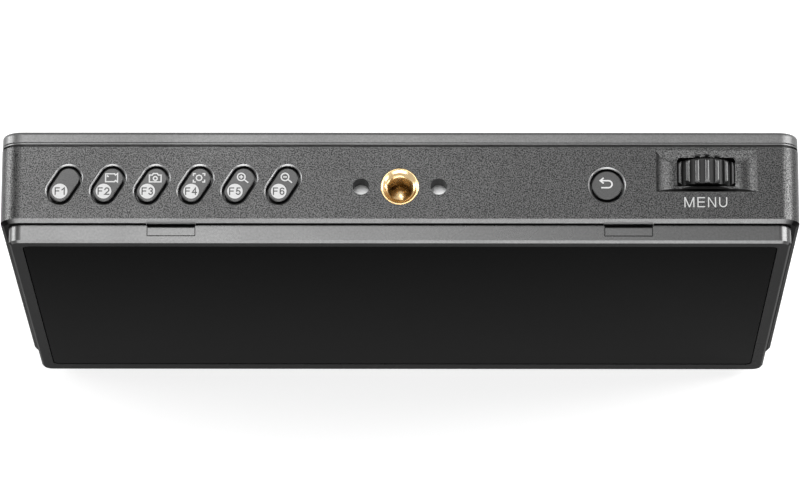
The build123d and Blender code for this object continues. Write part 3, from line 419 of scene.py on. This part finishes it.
def make_cover_metal():
    """Anodised aluminium, dark inside the score line round the cover's edge."""
    finish = Finish("cover_metal", 0.42, 1.0)
    low, _ = node_box("rear_cover")
    fine = finish.noise(0.4, 3.0)
    anodised = finish.mottle(fine, colour(84), colour(98))
    start, end = [(low.y + depth) * MM for depth in SCORE_LINE]
    score = finish.within(finish.axis("Y"), start, end, SCORE_EDGE * MM)
    finish.link(finish.blend(score, anodised, colour(22)), "Base Color")
    finish.smear(22.0, 0.38, 0.46)
    finish.bump(fine, 0.005)
    return finish


def make_front_glass():
    """Black-backed glass with a low sheen, and a painted reflection that makes it a little paler towards its
    foot.
    """
    finish = Finish("front_glass", 0.12, ior=GLASS_IOR)
    low, high = node_box("cover_glass")
    # painted reflection: paler towards the foot of the glass
    rise = finish.rising(finish.axis("Z"), low.z * MM, high.z * MM)
    finish.link(finish.blend(rise, colour(33), colour(7)), "Base Color")
    finish.smear(30.0, 0.1, 0.16, 3.0)
    return finish


def make_board_laminate():
    """Green laminate with the faint relief of its copper traces."""
    finish = Finish("board_laminate", 0.4)
    spacing = 2.0
    cells = finish.add("ShaderNodeTexVoronoi", feature="DISTANCE_TO_EDGE", distance="MANHATTAN")
    cells.inputs["Scale"].default_value = 1 / (spacing * MM)
    finish.link(finish.coordinates["Object"], cells.inputs["Vector"])
    traces = finish.falling(cells.outputs["Distance"], 0.03, 0.06)
    finish.link(finish.blend(traces, colour(14, 62, 38), colour(30, 92, 56)), "Base Color")
    finish.bump(traces, 0.02)
    return finish


def make_insert_brass():
    """Turned brass, with fine rings round the thread's axis and a few darker clouds."""
    finish = Finish("insert_brass", 0.2, 1.0)
    clouds = finish.noise(2.5, 3.0)
    finish.link(finish.mottle(clouds, colour(196, 168, 122), colour(210, 186, 144)), "Base Color")
    finish.link(finish.spread(clouds, 0.2, 0.26), "Roughness")
    finish.bump(finish.noise(0.3, 2.0, (1, 1, 0.2)), 0.001)
    return finish


def make_spun_steel(name, level):
    """Plated steel with fine drawn lines and small changes in gloss."""
    finish = Finish(name, 0.3, 1.0)
    lines = finish.noise(0.25, 2.0, (1, 1, 12))
    finish.link(finish.mottle(lines, colour(level - 14), colour(level + 10)), "Base Color")
    finish.link(finish.spread(lines, 0.24, 0.38), "Roughness")
    finish.bump(lines, 0.003)
    return finish


def make_plastic(name, level, roughness, grain=0.2, depth=0.01):
    """Moulded plastic: a fine spark-eroded grain over a plain colour."""
    return grained(name, colour(level - 4), colour(level + 4), roughness, 0.0, grain, depth, 0.05)


def make_wheel_plastic():
    """Satin black plastic, with painted shade down in the grooves between the wheel's ridges."""
    finish = Finish("wheel_plastic", 0.3)
    low, high = node_box("menu_wheel")
    across = finish.math("SUBTRACT", finish.axis("X"), (low.x + high.x) / 2 * MM)
    tall = finish.math("SUBTRACT", finish.axis("Z"), (low.z + high.z) / 2 * MM)
    squares = [finish.math("POWER", value, 2) for value in (across, tall)]
    radius = finish.math("POWER", finish.math("ADD", *squares), 0.5)
    outer = (high.x - low.x) / 2
    groove, crest = outer - 0.8, outer - 0.3
    # painted shade down in the grooves between the ridges
    ridge = finish.rising(radius, groove * MM, crest * MM)
    finish.link(finish.blend(ridge, colour(10), colour(46)), "Base Color")
    finish.link(finish.spread(ridge, 0.6, 0.28, 0, 1), "Roughness")
    finish.bump(finish.noise(0.2, 3.0), 0.003)
    return finish


def make_materials():
    """Every material by its name: the slots of the record, and those of the added pieces."""
    finishes = [
        make_housing_metal(),
        make_bezel_metal(),
        make_cover_metal(),
        make_front_glass(),
        make_plastic("panel_black", 22, 0.5),
        make_spun_steel("sheet_steel", 150),
        make_board_laminate(),
        make_plastic("chip_black", 28, 0.45),
        make_plastic("switch_black", 24, 0.4),
        make_spun_steel("spreader_metal", 170),
        make_insert_brass(),
        grained("key_plastic", colour(62), colour(74), 0.42, 1.0, 0.25, 0.003),
        make_wheel_plastic(),
        make_plastic("yoke_plastic", 30, 0.5),
        make_spun_steel("pin_steel", 180),
        make_spun_steel("screw_steel", 70),
        make_spun_steel("socket_steel", 170),
        make_plastic("socket_black", 20, 0.4),
        make_plastic("plate_plastic", 34, 0.5, grain=0.3, depth=0.02),
        make_spun_steel("contact_metal", 200),
        make_plastic("print_white", 202, 0.6, grain=0.3, depth=0.002),
        make_plastic("print_grey", 182, 0.6, grain=0.3, depth=0.002),
        make_plastic("print_dark", 52, 0.6, grain=0.3, depth=0.002),
        grained("turned_metal", colour(244), colour(253), 0.45, 0.5, 0.3, 0.004),
    ]
    return {finish.name: finish.material for finish in finishes}


def dress_nodes():
    """Give every CAD node the material of its slot in the record."""
    slots = {}
    for entry in frame["record"]["materials"]:
        for node in entry.get("nodes", []):
            slots[node] = entry["slot"]
    for name, node in frame["nodes"].items():
        slot = slots.get(name) or node.data.materials[0].name.split(".")[0]
        node.data.materials.clear()
        node.data.materials.append(materials[slot])


# ------------------------------------------------------------------ mesh helpers
WHOLE_HULL = 0                           # triangles over everything, those outside the outlines too
SAME_PLACE = 1e-4                        # corners closer than this are one


def build(name, vertices, faces, material, smooth=False):
    """An object in this material from corner places in millimetres and its faces."""
    mesh = bpy.data.meshes.new(name)
    mesh.from_pydata([Vector(place) * MM for place in vertices], [], faces)
    mesh.update()
    mesh.materials.append(materials[material])
    for polygon in mesh.polygons:
        polygon.use_smooth = smooth
    obj = bpy.data.objects.new(name, mesh)
    scene.collection.objects.link(obj)
    return obj


def covers(outline, x, y):
    """Whether a flat outline covers a place."""
    inside = False
    for (ax, ay), (bx, by) in zip(outline, outline[1:] + outline[:1]):
        if (ay > y) != (by > y) and x < ax + (bx - ax) * (y - ay) / (by - ay):
            inside = not inside
    return inside


def covered(outlines, corners):
    """Whether any of the outlines covers the middle of a triangle."""
    x = sum(corner.x for corner in corners) / 3
    y = sum(corner.y for corner in corners) / 3
    return any(covers(outline, x, y) for outline in outlines)


def tube_faces(rings, around):
    """The quads between this many rings of corners, each with as many corners around."""
    faces = []
    for row in range(rings - 1):
        for i in range(around):
            a = row * around + i
            b = row * around + (i + 1) % around
            faces.append([a, b, b + around, a + around])
    return faces


class Solid:
    """Vertices and faces gathered for one piece."""

    def __init__(self):
        self.vertices = []
        self.faces = []

    def extend(self, vertices, faces):
        """Add a closed shell with its own corner numbers."""
        start = len(self.vertices)
        self.vertices += vertices
        self.faces += [[start + corner for corner in face] for face in faces]

    def plate(self, outlines, low, high):
        """A flat plate of these outlines, which may overlap, between two heights."""
        places = [Vector(place) for outline in outlines for place in outline]
        rings, start = [], 0
        for outline in outlines:
            rings.append(list(range(start, start + len(outline))))
            start += len(outline)
        places, _, faces, *_ = delaunay_2d_cdt(places, [], rings, WHOLE_HULL, SAME_PLACE)
        triangles = [list(face) for face in faces if covered(outlines, [places[i] for i in face])]
        count = len(places)
        edges = {pair for face in triangles for pair in zip(face, face[1:] + face[:1])}
        walls = [[a, b, count + b, count + a] for a, b in sorted(edges) if (b, a) not in edges]
        tops = [[count + corner for corner in face] for face in triangles]
        corners = [(x, y, z) for z in (low, high) for x, y in places]
        self.extend(corners, [face[::-1] for face in triangles] + tops + walls)

    def build(self, name, material):
        """The finished object."""
        return build(name, self.vertices, self.faces, material)


# ------------------------------------------------------------------ flat lines
MITRE_LIMIT = 0.4                        # keeps a stroke's sharp corners from running far out


def unit(start, end):
    """The direction from one flat point to another."""
    size = hypot(end[0] - start[0], end[1] - start[1])
    return ((end[0] - start[0]) / size, (end[1] - start[1]) / size)


def stroke(line, width, closed=False):
    """The quads of a flat stroke of even width along a line, with mitred corners."""
    left, right = [], []
    count = len(line)
    for i, here in enumerate(line):
        before = line[i - 1] if i or closed else None
        after = line[(i + 1) % count] if i < count - 1 or closed else None
        step_in = unit(before, here) if before else unit(here, after)
        step_out = unit(here, after) if after else step_in
        bend = unit((0, 0), (step_in[0] + step_out[0], step_in[1] + step_out[1]))
        across = (-bend[1], bend[0])
        reach = width / 2 / max(bend[0] * step_out[0] + bend[1] * step_out[1], MITRE_LIMIT)
        left.append((here[0] + across[0] * reach, here[1] + across[1] * reach))
        right.append((here[0] - across[0] * reach, here[1] - across[1] * reach))
    last = count if closed else count - 1
    return [[right[i], right[(i + 1) % count], left[(i + 1) % count], left[i]] for i in range(last)]


def capped(line, reach):
    """A line made longer at both ends by this reach, for square caps."""
    start, end = unit(line[1], line[0]), unit(line[-2], line[-1])
    first = (line[0][0] + start[0] * reach, line[0][1] + start[1] * reach)
    last = (line[-1][0] + end[0] * reach, line[-1][1] + end[1] * reach)
    return [first] + line[1:-1] + [last]


def arc(center, radius, start, end, steps):
    """Points along an arc, its angles in degrees."""
    angles = [radians(start + (end - start) * i / steps) for i in range(steps + 1)]
    return [(center[0] + radius * cos(a), center[1] + radius * sin(a)) for a in angles]


def ring(center, radius, steps):
    """Points once round a circle."""
    return arc(center, radius, 0, 360, steps)[:-1]


def moved(line, center, size=1.0):
    """A line drawn round the origin, brought to its place and size."""
    return [(center[0] + x * size, center[1] + y * size) for x, y in line]


# ------------------------------------------------------------------ lettering
SLANT_HALF = 0.48                        # half a slanted bar's width, as a share of the stroke's

# Each letter: its width, its strokes, and its slanted bars by their top and bottom places.
# Heights run from 0 to 1 along the middles of the strokes.
LETTERS = {
    "F": (0.6, [[(0.6, 1), (0, 1), (0, 0)], [(0, 0.52), (0.52, 0.52)]], []),
    "E": (0.68, [[(0.68, 1), (0, 1), (0, 0), (0.68, 0)], [(0, 0.52), (0.64, 0.52)]], []),
    "M": (0.94, [[(0, 0), (0, 1)], [(0.94, 0), (0.94, 1)]], [(0.01, 0.47), (0.93, 0.47)]),
    "N": (0.74, [[(0, 0), (0, 1)], [(0.74, 0), (0.74, 1)]], [(0.01, 0.73)]),
    "U": (0.74, [[(0, 1)] + arc((0.37, 0.37), 0.37, 180, 360, 12) + [(0.74, 1)]], []),
    "1": (0.34, [[(0, 0.7), (0.34, 0.98), (0.34, 0)]], []),
    "2": (0.6, [arc((0.3, 0.7), 0.3, 175, -38, 12) + [(0, 0), (0.6, 0)]], []),
    "3": (0.54, [arc((0.27, 0.755), 0.245, 160, -90, 12), arc((0.27, 0.255), 0.265, 90, -160, 12)], []),
    "4": (0.62, [[(0.45, 0), (0.45, 1), (0, 0.3), (0.62, 0.3)]], []),
    "5": (0.56, [[(0.52, 1), (0.12, 1), (0.04, 0.5)] + arc((0.27, 0.29), 0.29, 130, -155, 12)], []),
    "6": (0.56, [arc((0.28, 0.29), 0.28, 180, -180, 20), [(0, 0.3)] + arc((0.3, 0.7), 0.29, 172, 35, 8)], []),
}


def lettering(text, height, width, gap, center):
    """The outlines of plain upright letters of this height and stroke width, centred here."""
    scale = height - width
    total = sum(LETTERS[letter][0] * scale + width for letter in text) + gap * (len(text) - 1)
    x = center[0] - total / 2 + width / 2
    low = center[1] - scale / 2
    half = width * SLANT_HALF
    outlines = []
    for letter in text:
        span, lines, slants = LETTERS[letter]
        for line in lines:
            outlines += stroke(capped(moved(line, (x, low), scale), width / 2), width)
        for high_x, low_x in slants:
            hx, hy = x + high_x * scale, low + scale + width / 2
            lx, ly = x + low_x * scale, low - width / 2
            outlines.append([(lx - half, ly), (lx + half, ly), (hx + half, hy), (hx - half, hy)])
        x += span * scale + width + gap
    return outlines


# ------------------------------------------------------------------ icons
# Each icon is a list of lines round the origin, each with whether it closes on itself.
def recorder_icon():
    """A film camera: a body with a flared hood on its right, and a small lamp."""
    hood = [(1.55, 1.12), (1.55, -1.12), (1.0, -0.72), (0.8, -1.05)]
    body = [(-1.5, -1.05), (-1.5, 1.05), (0.8, 1.05), (1.0, 0.72)]
    lamp = [(-1.05, 0.75), (-1.05, 0.35), (-0.65, 0.35)]
    return [(hood + body, True), (lamp, False)]


def camera_icon():
    """A stills camera with its lens ring."""
    body = [(-1.5, -1.1), (1.5, -1.1), (1.5, 0.72), (0.75, 0.72),
            (0.5, 1.15), (-0.5, 1.15), (-0.75, 0.72), (-1.5, 0.72)]
    return [(body, True), (ring((0, -0.18), 0.5, 20), True)]


def focus_icon():
    """Four corner marks round a small rounded square."""
    across, tall, leg = 1.45, 1.12, 0.62
    corner = [(across, tall - leg), (across, tall), (across - leg, tall)]
    lines = [([(sx * x, sy * y) for x, y in corner], False) for sx in (-1, 1) for sy in (-1, 1)]
    lines.append((ring((0, 0), 0.74, 8), True))
    return lines


def lens_icon(plus):
    """A magnifying glass with a plus or a minus in it."""
    middle = (-0.4, 0.24)
    arm = 0.5
    lines = [(ring(middle, 0.98, 24), True), ([(0.32, -0.42), (1.4, -1.3)], False)]
    lines.append((moved([(-arm, 0), (arm, 0)], middle), False))
    if plus:
        lines.append((moved([(0, -arm), (0, arm)], middle), False))
    return lines


def return_icon():
    """An arrow that turns back to the left."""
    radius = 0.92
    hook = [(-1.3, radius)] + arc((0.62, 0), radius, 90, -90, 16) + [(-1.15, -radius)]
    head = [(-0.55, radius + 0.72), (-1.4, radius), (-0.55, radius - 0.72)]
    return [(hook, False), (head, False)]


# ------------------------------------------------------------------ prints on the top wall
PRINT_THICKNESS = 0.007
LETTER_WIDTH = 0.26                      # of every letter's strokes
DISC_STEP = (-0.98, -1.56)               # from a key's middle
DISC_RADIUS = 1.78
NUMBER_HEIGHT = 1.8
NUMBER_GAP = 0.36
ICON_STEP = (0.8, 1.66)
ICON_WIDTH = 0.29
ICON_SIZE = 0.9
RETURN_STEP = (-0.25, 0.25)
RETURN_WIDTH = 0.34
RETURN_SIZE = 0.92
MENU_PLACE = (70.25, -3.72)
MENU_HEIGHT = 2.42
MENU_GAP = 0.7


def beside(low, high, step):
    """The place this step from the middle of a box, seen from above."""
    return ((low.x + high.x) / 2 + step[0], (low.y + high.y) / 2 + step[1])


def print_flat(name, outlines, base, material, body, layer=0):
    """A print of these outlines on a face at this height, or on an earlier layer of print."""
    solid = Solid()
    low = base + layer * PRINT_THICKNESS
    solid.plate(outlines, low, low + PRINT_THICKNESS)
    piece = solid.build(name, material)
    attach(piece, body)


def print_number(key, text):
    """A key's white disc with its number on it."""
    low, high = node_box(key)
    disc = beside(low, high, DISC_STEP)
    figures = lettering(text, NUMBER_HEIGHT, LETTER_WIDTH, NUMBER_GAP, disc)
    print_flat(f"{key}_disc", [ring(disc, DISC_RADIUS, 48)], high.z, "print_white", key)
    print_flat(f"{key}_number", figures, high.z, "print_dark", key, 1)


def print_icon(key, lines, step, width, size):
    """The strokes of an icon on a key."""
    low, high = node_box(key)
    center = beside(low, high, step)
    outlines = []
    for line, closed in lines:
        outlines += stroke(moved(line, center, size), width, closed)
    print_flat(f"{key}_icon", outlines, high.z, "print_white", key)


def print_keys():
    """The number discs and icons of the slanted keys, and the arrow of the round one."""
    icons = [None, recorder_icon(), camera_icon(), focus_icon(), lens_icon(True), lens_icon(False)]
    for number, icon in enumerate(icons, 1):
        key = f"key_f{number}"
        print_number(key, f"F{number}")
        if icon:
            print_icon(key, icon, ICON_STEP, ICON_WIDTH, ICON_SIZE)
    print_icon("return_key", return_icon(), RETURN_STEP, RETURN_WIDTH, RETURN_SIZE)


def print_menu():
    """The word beside the wheel, printed on the top wall."""
    outlines = lettering("MENU", MENU_HEIGHT, LETTER_WIDTH, MENU_GAP, MENU_PLACE)
    _, high = node_box("main_housing")
    print_flat("menu_word", outlines, high.z, "print_grey", "monitor")


# ------------------------------------------------------------------ locating holes
HOLE_FLOOR_GAP = 0.02                    # between a floor and its hole's wall
HOLE_FLOOR_THICKNESS = 0.03


def make_hole_floors():
    """The turned floors of the locating holes beside the tripod threads."""
    radius = PIN_HOLE_DIAMETER / 2 - HOLE_FLOOR_GAP
    for wall, mouth, inward in (("top", cad_high.z / MM, -1), ("bottom", cad_low.z / MM, 1)):
        floor = mouth + inward * PIN_HOLE_DEPTH
        low, high = sorted((floor, floor - inward * HOLE_FLOOR_THICKNESS))
        for side, name in ((-1, "left"), (1, "right")):
            solid = Solid()
            solid.plate([ring((side * PIN_HOLE_X, 0), radius, 40)], low, high)
            piece = solid.build(f"{wall}_hole_floor_{name}", "turned_metal")
            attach(piece, "monitor")


# ------------------------------------------------------------------ threaded inserts
THREAD_PITCH = 1.27
THREAD_ROOT = 3.3                        # radius where the thread is deepest
THREAD_CREST = 2.8
THREAD_FLAT = 0.12                       # of its crest, as a share of half a turn
THREAD_FLANK = 0.72
THREAD_START = 0.12                      # depth of the first ring of the bore
MOUTH_RADIUS = 4.05                      # of the countersink
MOUTH_DEPTH = 0.75
INSERT_GAP = 0.02                        # inside the CAD insert that this one replaces
INSERT_FOOT_GAP = 0.05
INSERT_CHAMFER = 0.1
INSERT_FLOOR = 0.9                       # from the floor of the bore to the bottom


def thread_wave(turns):
    """Depth of the thread from its crest, 0 to 1, at this many turns along."""
    phase = abs((turns % 1.0) * 2 - 1)
    return min(max((phase - THREAD_FLAT) / THREAD_FLANK, 0), 1)


def bore_radius(down, turn):
    """Radius of the bore at a depth and a part of a turn: that of its countersink or its thread."""
    thread = THREAD_CREST + (THREAD_ROOT - THREAD_CREST) * thread_wave(down / THREAD_PITCH - turn)
    if down >= MOUTH_DEPTH:
        return thread
    return max(thread, MOUTH_RADIUS - (MOUTH_RADIUS - THREAD_ROOT) * (down / MOUTH_DEPTH))


def insert_shell(outer, depth, around=96, rows_per_turn=14):
    """Corners and faces of a threaded insert, its mouth at height 0 and its floor below."""
    side, foot, floor = outer - INSERT_GAP, depth - INSERT_FOOT_GAP, depth - INSERT_FLOOR
    outside = [(side, foot), (side, INSERT_CHAMFER), (side - INSERT_CHAMFER, 0.0), (MOUTH_RADIUS, 0.0)]
    rows = int((floor - THREAD_START) / THREAD_PITCH * rows_per_turn)
    downs = [THREAD_START + (floor - THREAD_START) * i / rows for i in range(rows + 1)]
    turns = [i / around for i in range(around)]
    rings = [([radius] * around, down) for radius, down in outside]
    rings += [([bore_radius(down, turn) for turn in turns], down) for down in downs]
    corners = []
    for radii, down in rings:
        for radius, turn in zip(radii, turns):
            corners.append((radius * cos(2 * pi * turn), radius * sin(2 * pi * turn), -down))
    faces = tube_faces(len(rings), around)
    last = (len(rings) - 1) * around
    corners += [(0, 0, -floor), (0, 0, -foot)]
    faces += [[last + i, last + (i + 1) % around, len(corners) - 2] for i in range(around)]
    faces += [[(i + 1) % around, i, len(corners) - 1] for i in range(around)]
    return corners, faces


def make_inserts():
    """The brass inserts in the top and bottom walls, with real threads."""
    for node, sign in (("top_thread_insert", 1), ("bottom_thread_insert", -1)):
        low, high = node_box(node)
        corners, faces = insert_shell((high.x - low.x) / 2, high.z - low.z)
        mouth = high.z if sign > 0 else low.z
        places = [(x, y * sign, mouth + z * sign) for x, y, z in corners]
        piece = build(f"{node}_threaded", places, faces, "insert_brass", smooth=True)
        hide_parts(node)
        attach(piece, "monitor")


# ------------------------------------------------------------------ screws
HEAD_RADIUS = 2.3
HEAD_HEIGHT = 1.2
HEAD_CHAMFER = 0.18
SHANK_RADIUS = 1.2
RECESS_FLAT = 1.0                        # half the width across the flats of the hexagon
RECESS_DEPTH = 0.7
MIDDLE_SCREWS = (-45.0, 45.0)            # along X, of the cover's lower screws between the corners
TOP_SCREW = 29.0                         # and of its upper one


def hexagon(angle):
    """Distance from the middle of the drive recess to its wall in this direction."""
    return RECESS_FLAT / cos((angle + pi / 6) % (pi / 3) - pi / 6)


def screw_shell(length, around=48):
    """Corners and faces of a low head screw with a hexagon recess; its head's top is at height 0."""
    angles = [2 * pi * i / around for i in range(around)]
    recess = [hexagon(angle) for angle in angles]
    outside = [(SHANK_RADIUS, -length), (SHANK_RADIUS, -HEAD_HEIGHT), (HEAD_RADIUS, -HEAD_HEIGHT),
               (HEAD_RADIUS, -HEAD_CHAMFER), (HEAD_RADIUS - HEAD_CHAMFER, 0)]
    rings = [([radius] * around, height) for radius, height in outside]
    rings += [(recess, 0), (recess, -RECESS_DEPTH)]
    corners = []
    for radii, height in rings:
        for radius, angle in zip(radii, angles):
            corners.append((radius * cos(angle), radius * sin(angle), height))
    faces = tube_faces(len(rings), around)
    faces.append(list(range(around))[::-1])
    faces.append([(len(rings) - 1) * around + i for i in range(around)])
    return corners, faces


def make_screws():
    """The screws of the cover and of the battery plate, with drive recesses in their heads."""
    for node in ("cover_screws", "plate_screws"):
        low, high = node_box(node)
        side, bottom, top = high.x - HEAD_RADIUS, low.z + HEAD_RADIUS, high.z - HEAD_RADIUS
        places = [(x, z) for x in (-side, side) for z in (bottom, top)]
        if node == "cover_screws":
            places += [(x, bottom) for x in MIDDLE_SCREWS] + [(TOP_SCREW, top)]
        corners, faces = screw_shell(high.y - low.y)
        solid = Solid()
        for x, z in places:
            solid.extend([(x - cx, high.y + cz, z + cy) for cx, cy, cz in corners], faces)
        piece = solid.build(f"{node}_driven", "screw_steel")
        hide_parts(node)
        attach(piece, "monitor")


# ------------------------------------------------------------------ floor, world and lamps
FLOOR_REACH = 4000.0
FLOOR_DROP = 0.05                        # from the object's foot down to the floor
FLOOR_WHITENESS = 0.55
FLOOR_LIFT = 0.7                         # glow of the floor where it is seen, directly or mirrored
WORLD_FILL = 0.1                         # strength of the surround as a light; where seen it is 1
LAMP_TARGET = (0, 0, 100)
# Each lamp: its place, the width and height of its face, and its radiance.
LAMPS = {
    "overhead": ((-195, 380, 1250), (270, 800), 8.4),
    "front": ((0, -1150, 450), (1400, 400), 6.0),
    "right": ((840, 260, 640), (400, 760), 12.0),
    "rim": ((880, -310, 250), (320, 260), 7.0),
    "left": ((-992, 254, 333), (460, 600), 9.5),
}


def seen_rays(tree, hidden, seen):
    """A strength of seen for camera, glossy and transmission rays, and of hidden for the rest."""
    path = tree.nodes.new("ShaderNodeLightPath")
    kinds = [path.outputs[f"Is {kind} Ray"] for kind in ("Camera", "Glossy", "Transmission")]
    total = kinds[0]
    for kind in kinds[1:]:
        larger = tree.nodes.new("ShaderNodeMath")
        larger.operation = "MAXIMUM"
        tree.links.new(total, larger.inputs[0])
        tree.links.new(kind, larger.inputs[1])
        total = larger.outputs["Value"]
    chosen = tree.nodes.new("ShaderNodeMapRange")
    tree.links.new(total, chosen.inputs["Value"])
    chosen.inputs["To Min"].default_value = hidden
    chosen.inputs["To Max"].default_value = seen
    return chosen.outputs["Result"]


def make_floor_material():
    """A matt grey that glows where it is seen and not as a light."""
    material = bpy.data.materials.new("floor")
    material.use_nodes = True
    tree = material.node_tree
    surface = tree.nodes["Principled BSDF"]
    surface.inputs["Base Color"].default_value = (FLOOR_WHITENESS, FLOOR_WHITENESS, FLOOR_WHITENESS, 1)
    surface.inputs["Roughness"].default_value = 0.9
    surface.inputs["Specular IOR Level"].default_value = 0.0
    surface.inputs["Emission Color"].default_value = (1, 1, 1, 1)
    tree.links.new(seen_rays(tree, 0.0, FLOOR_LIFT), surface.inputs["Emission Strength"])
    return material


def make_floor():
    """A pale floor that stays white to the camera and keeps the object's shadow."""
    mesh = bpy.data.meshes.new("floor")
    square = [(-1, -1), (1, -1), (1, 1), (-1, 1)]
    corners = [(x * FLOOR_REACH * MM, y * FLOOR_REACH * MM, -FLOOR_DROP * MM) for x, y in square]
    mesh.from_pydata(corners, [], [(0, 1, 2, 3)])
    floor = bpy.data.objects.new("floor", mesh)
    scene.collection.objects.link(floor)
    mesh.materials.append(make_floor_material())


def make_world():
    """A white surround to look at and a weaker one to light with."""
    world = bpy.data.worlds.new("surround")
    world.use_nodes = True
    tree = world.node_tree
    background = tree.nodes["Background"]
    background.inputs["Color"].default_value = (1, 1, 1, 1)
    tree.links.new(seen_rays(tree, WORLD_FILL, 1.0), background.inputs["Strength"])
    scene.world = world


def make_lamp(name, place, size, radiance):
    """A rectangular soft box turned to the object, whose face has this radiance."""
    data = bpy.data.lights.new(name, "AREA")
    data.shape = "RECTANGLE"
    data.size = size[0] * MM
    data.size_y = size[1] * MM
    data.energy = radiance * pi * data.size * data.size_y
    lamp = bpy.data.objects.new(name, data)
    way = (Vector(LAMP_TARGET) - Vector(place)).normalized()
    turn = way.to_track_quat("-Z", "Y").to_matrix().to_4x4()
    lamp.matrix_world = Matrix.Translation(Vector(place) * MM) @ turn
    scene.collection.objects.link(lamp)


# ------------------------------------------------------------------ the scene
materials = make_materials()
make_camera()
make_floor()
make_world()
for lamp_name, (lamp_place, lamp_size, lamp_radiance) in LAMPS.items():
    make_lamp(lamp_name, lamp_place, lamp_size, lamp_radiance)
dress_nodes()
print_keys()
print_menu()
make_hole_floors()
make_inserts()
make_screws()
scene.view_settings.view_transform = "Standard"
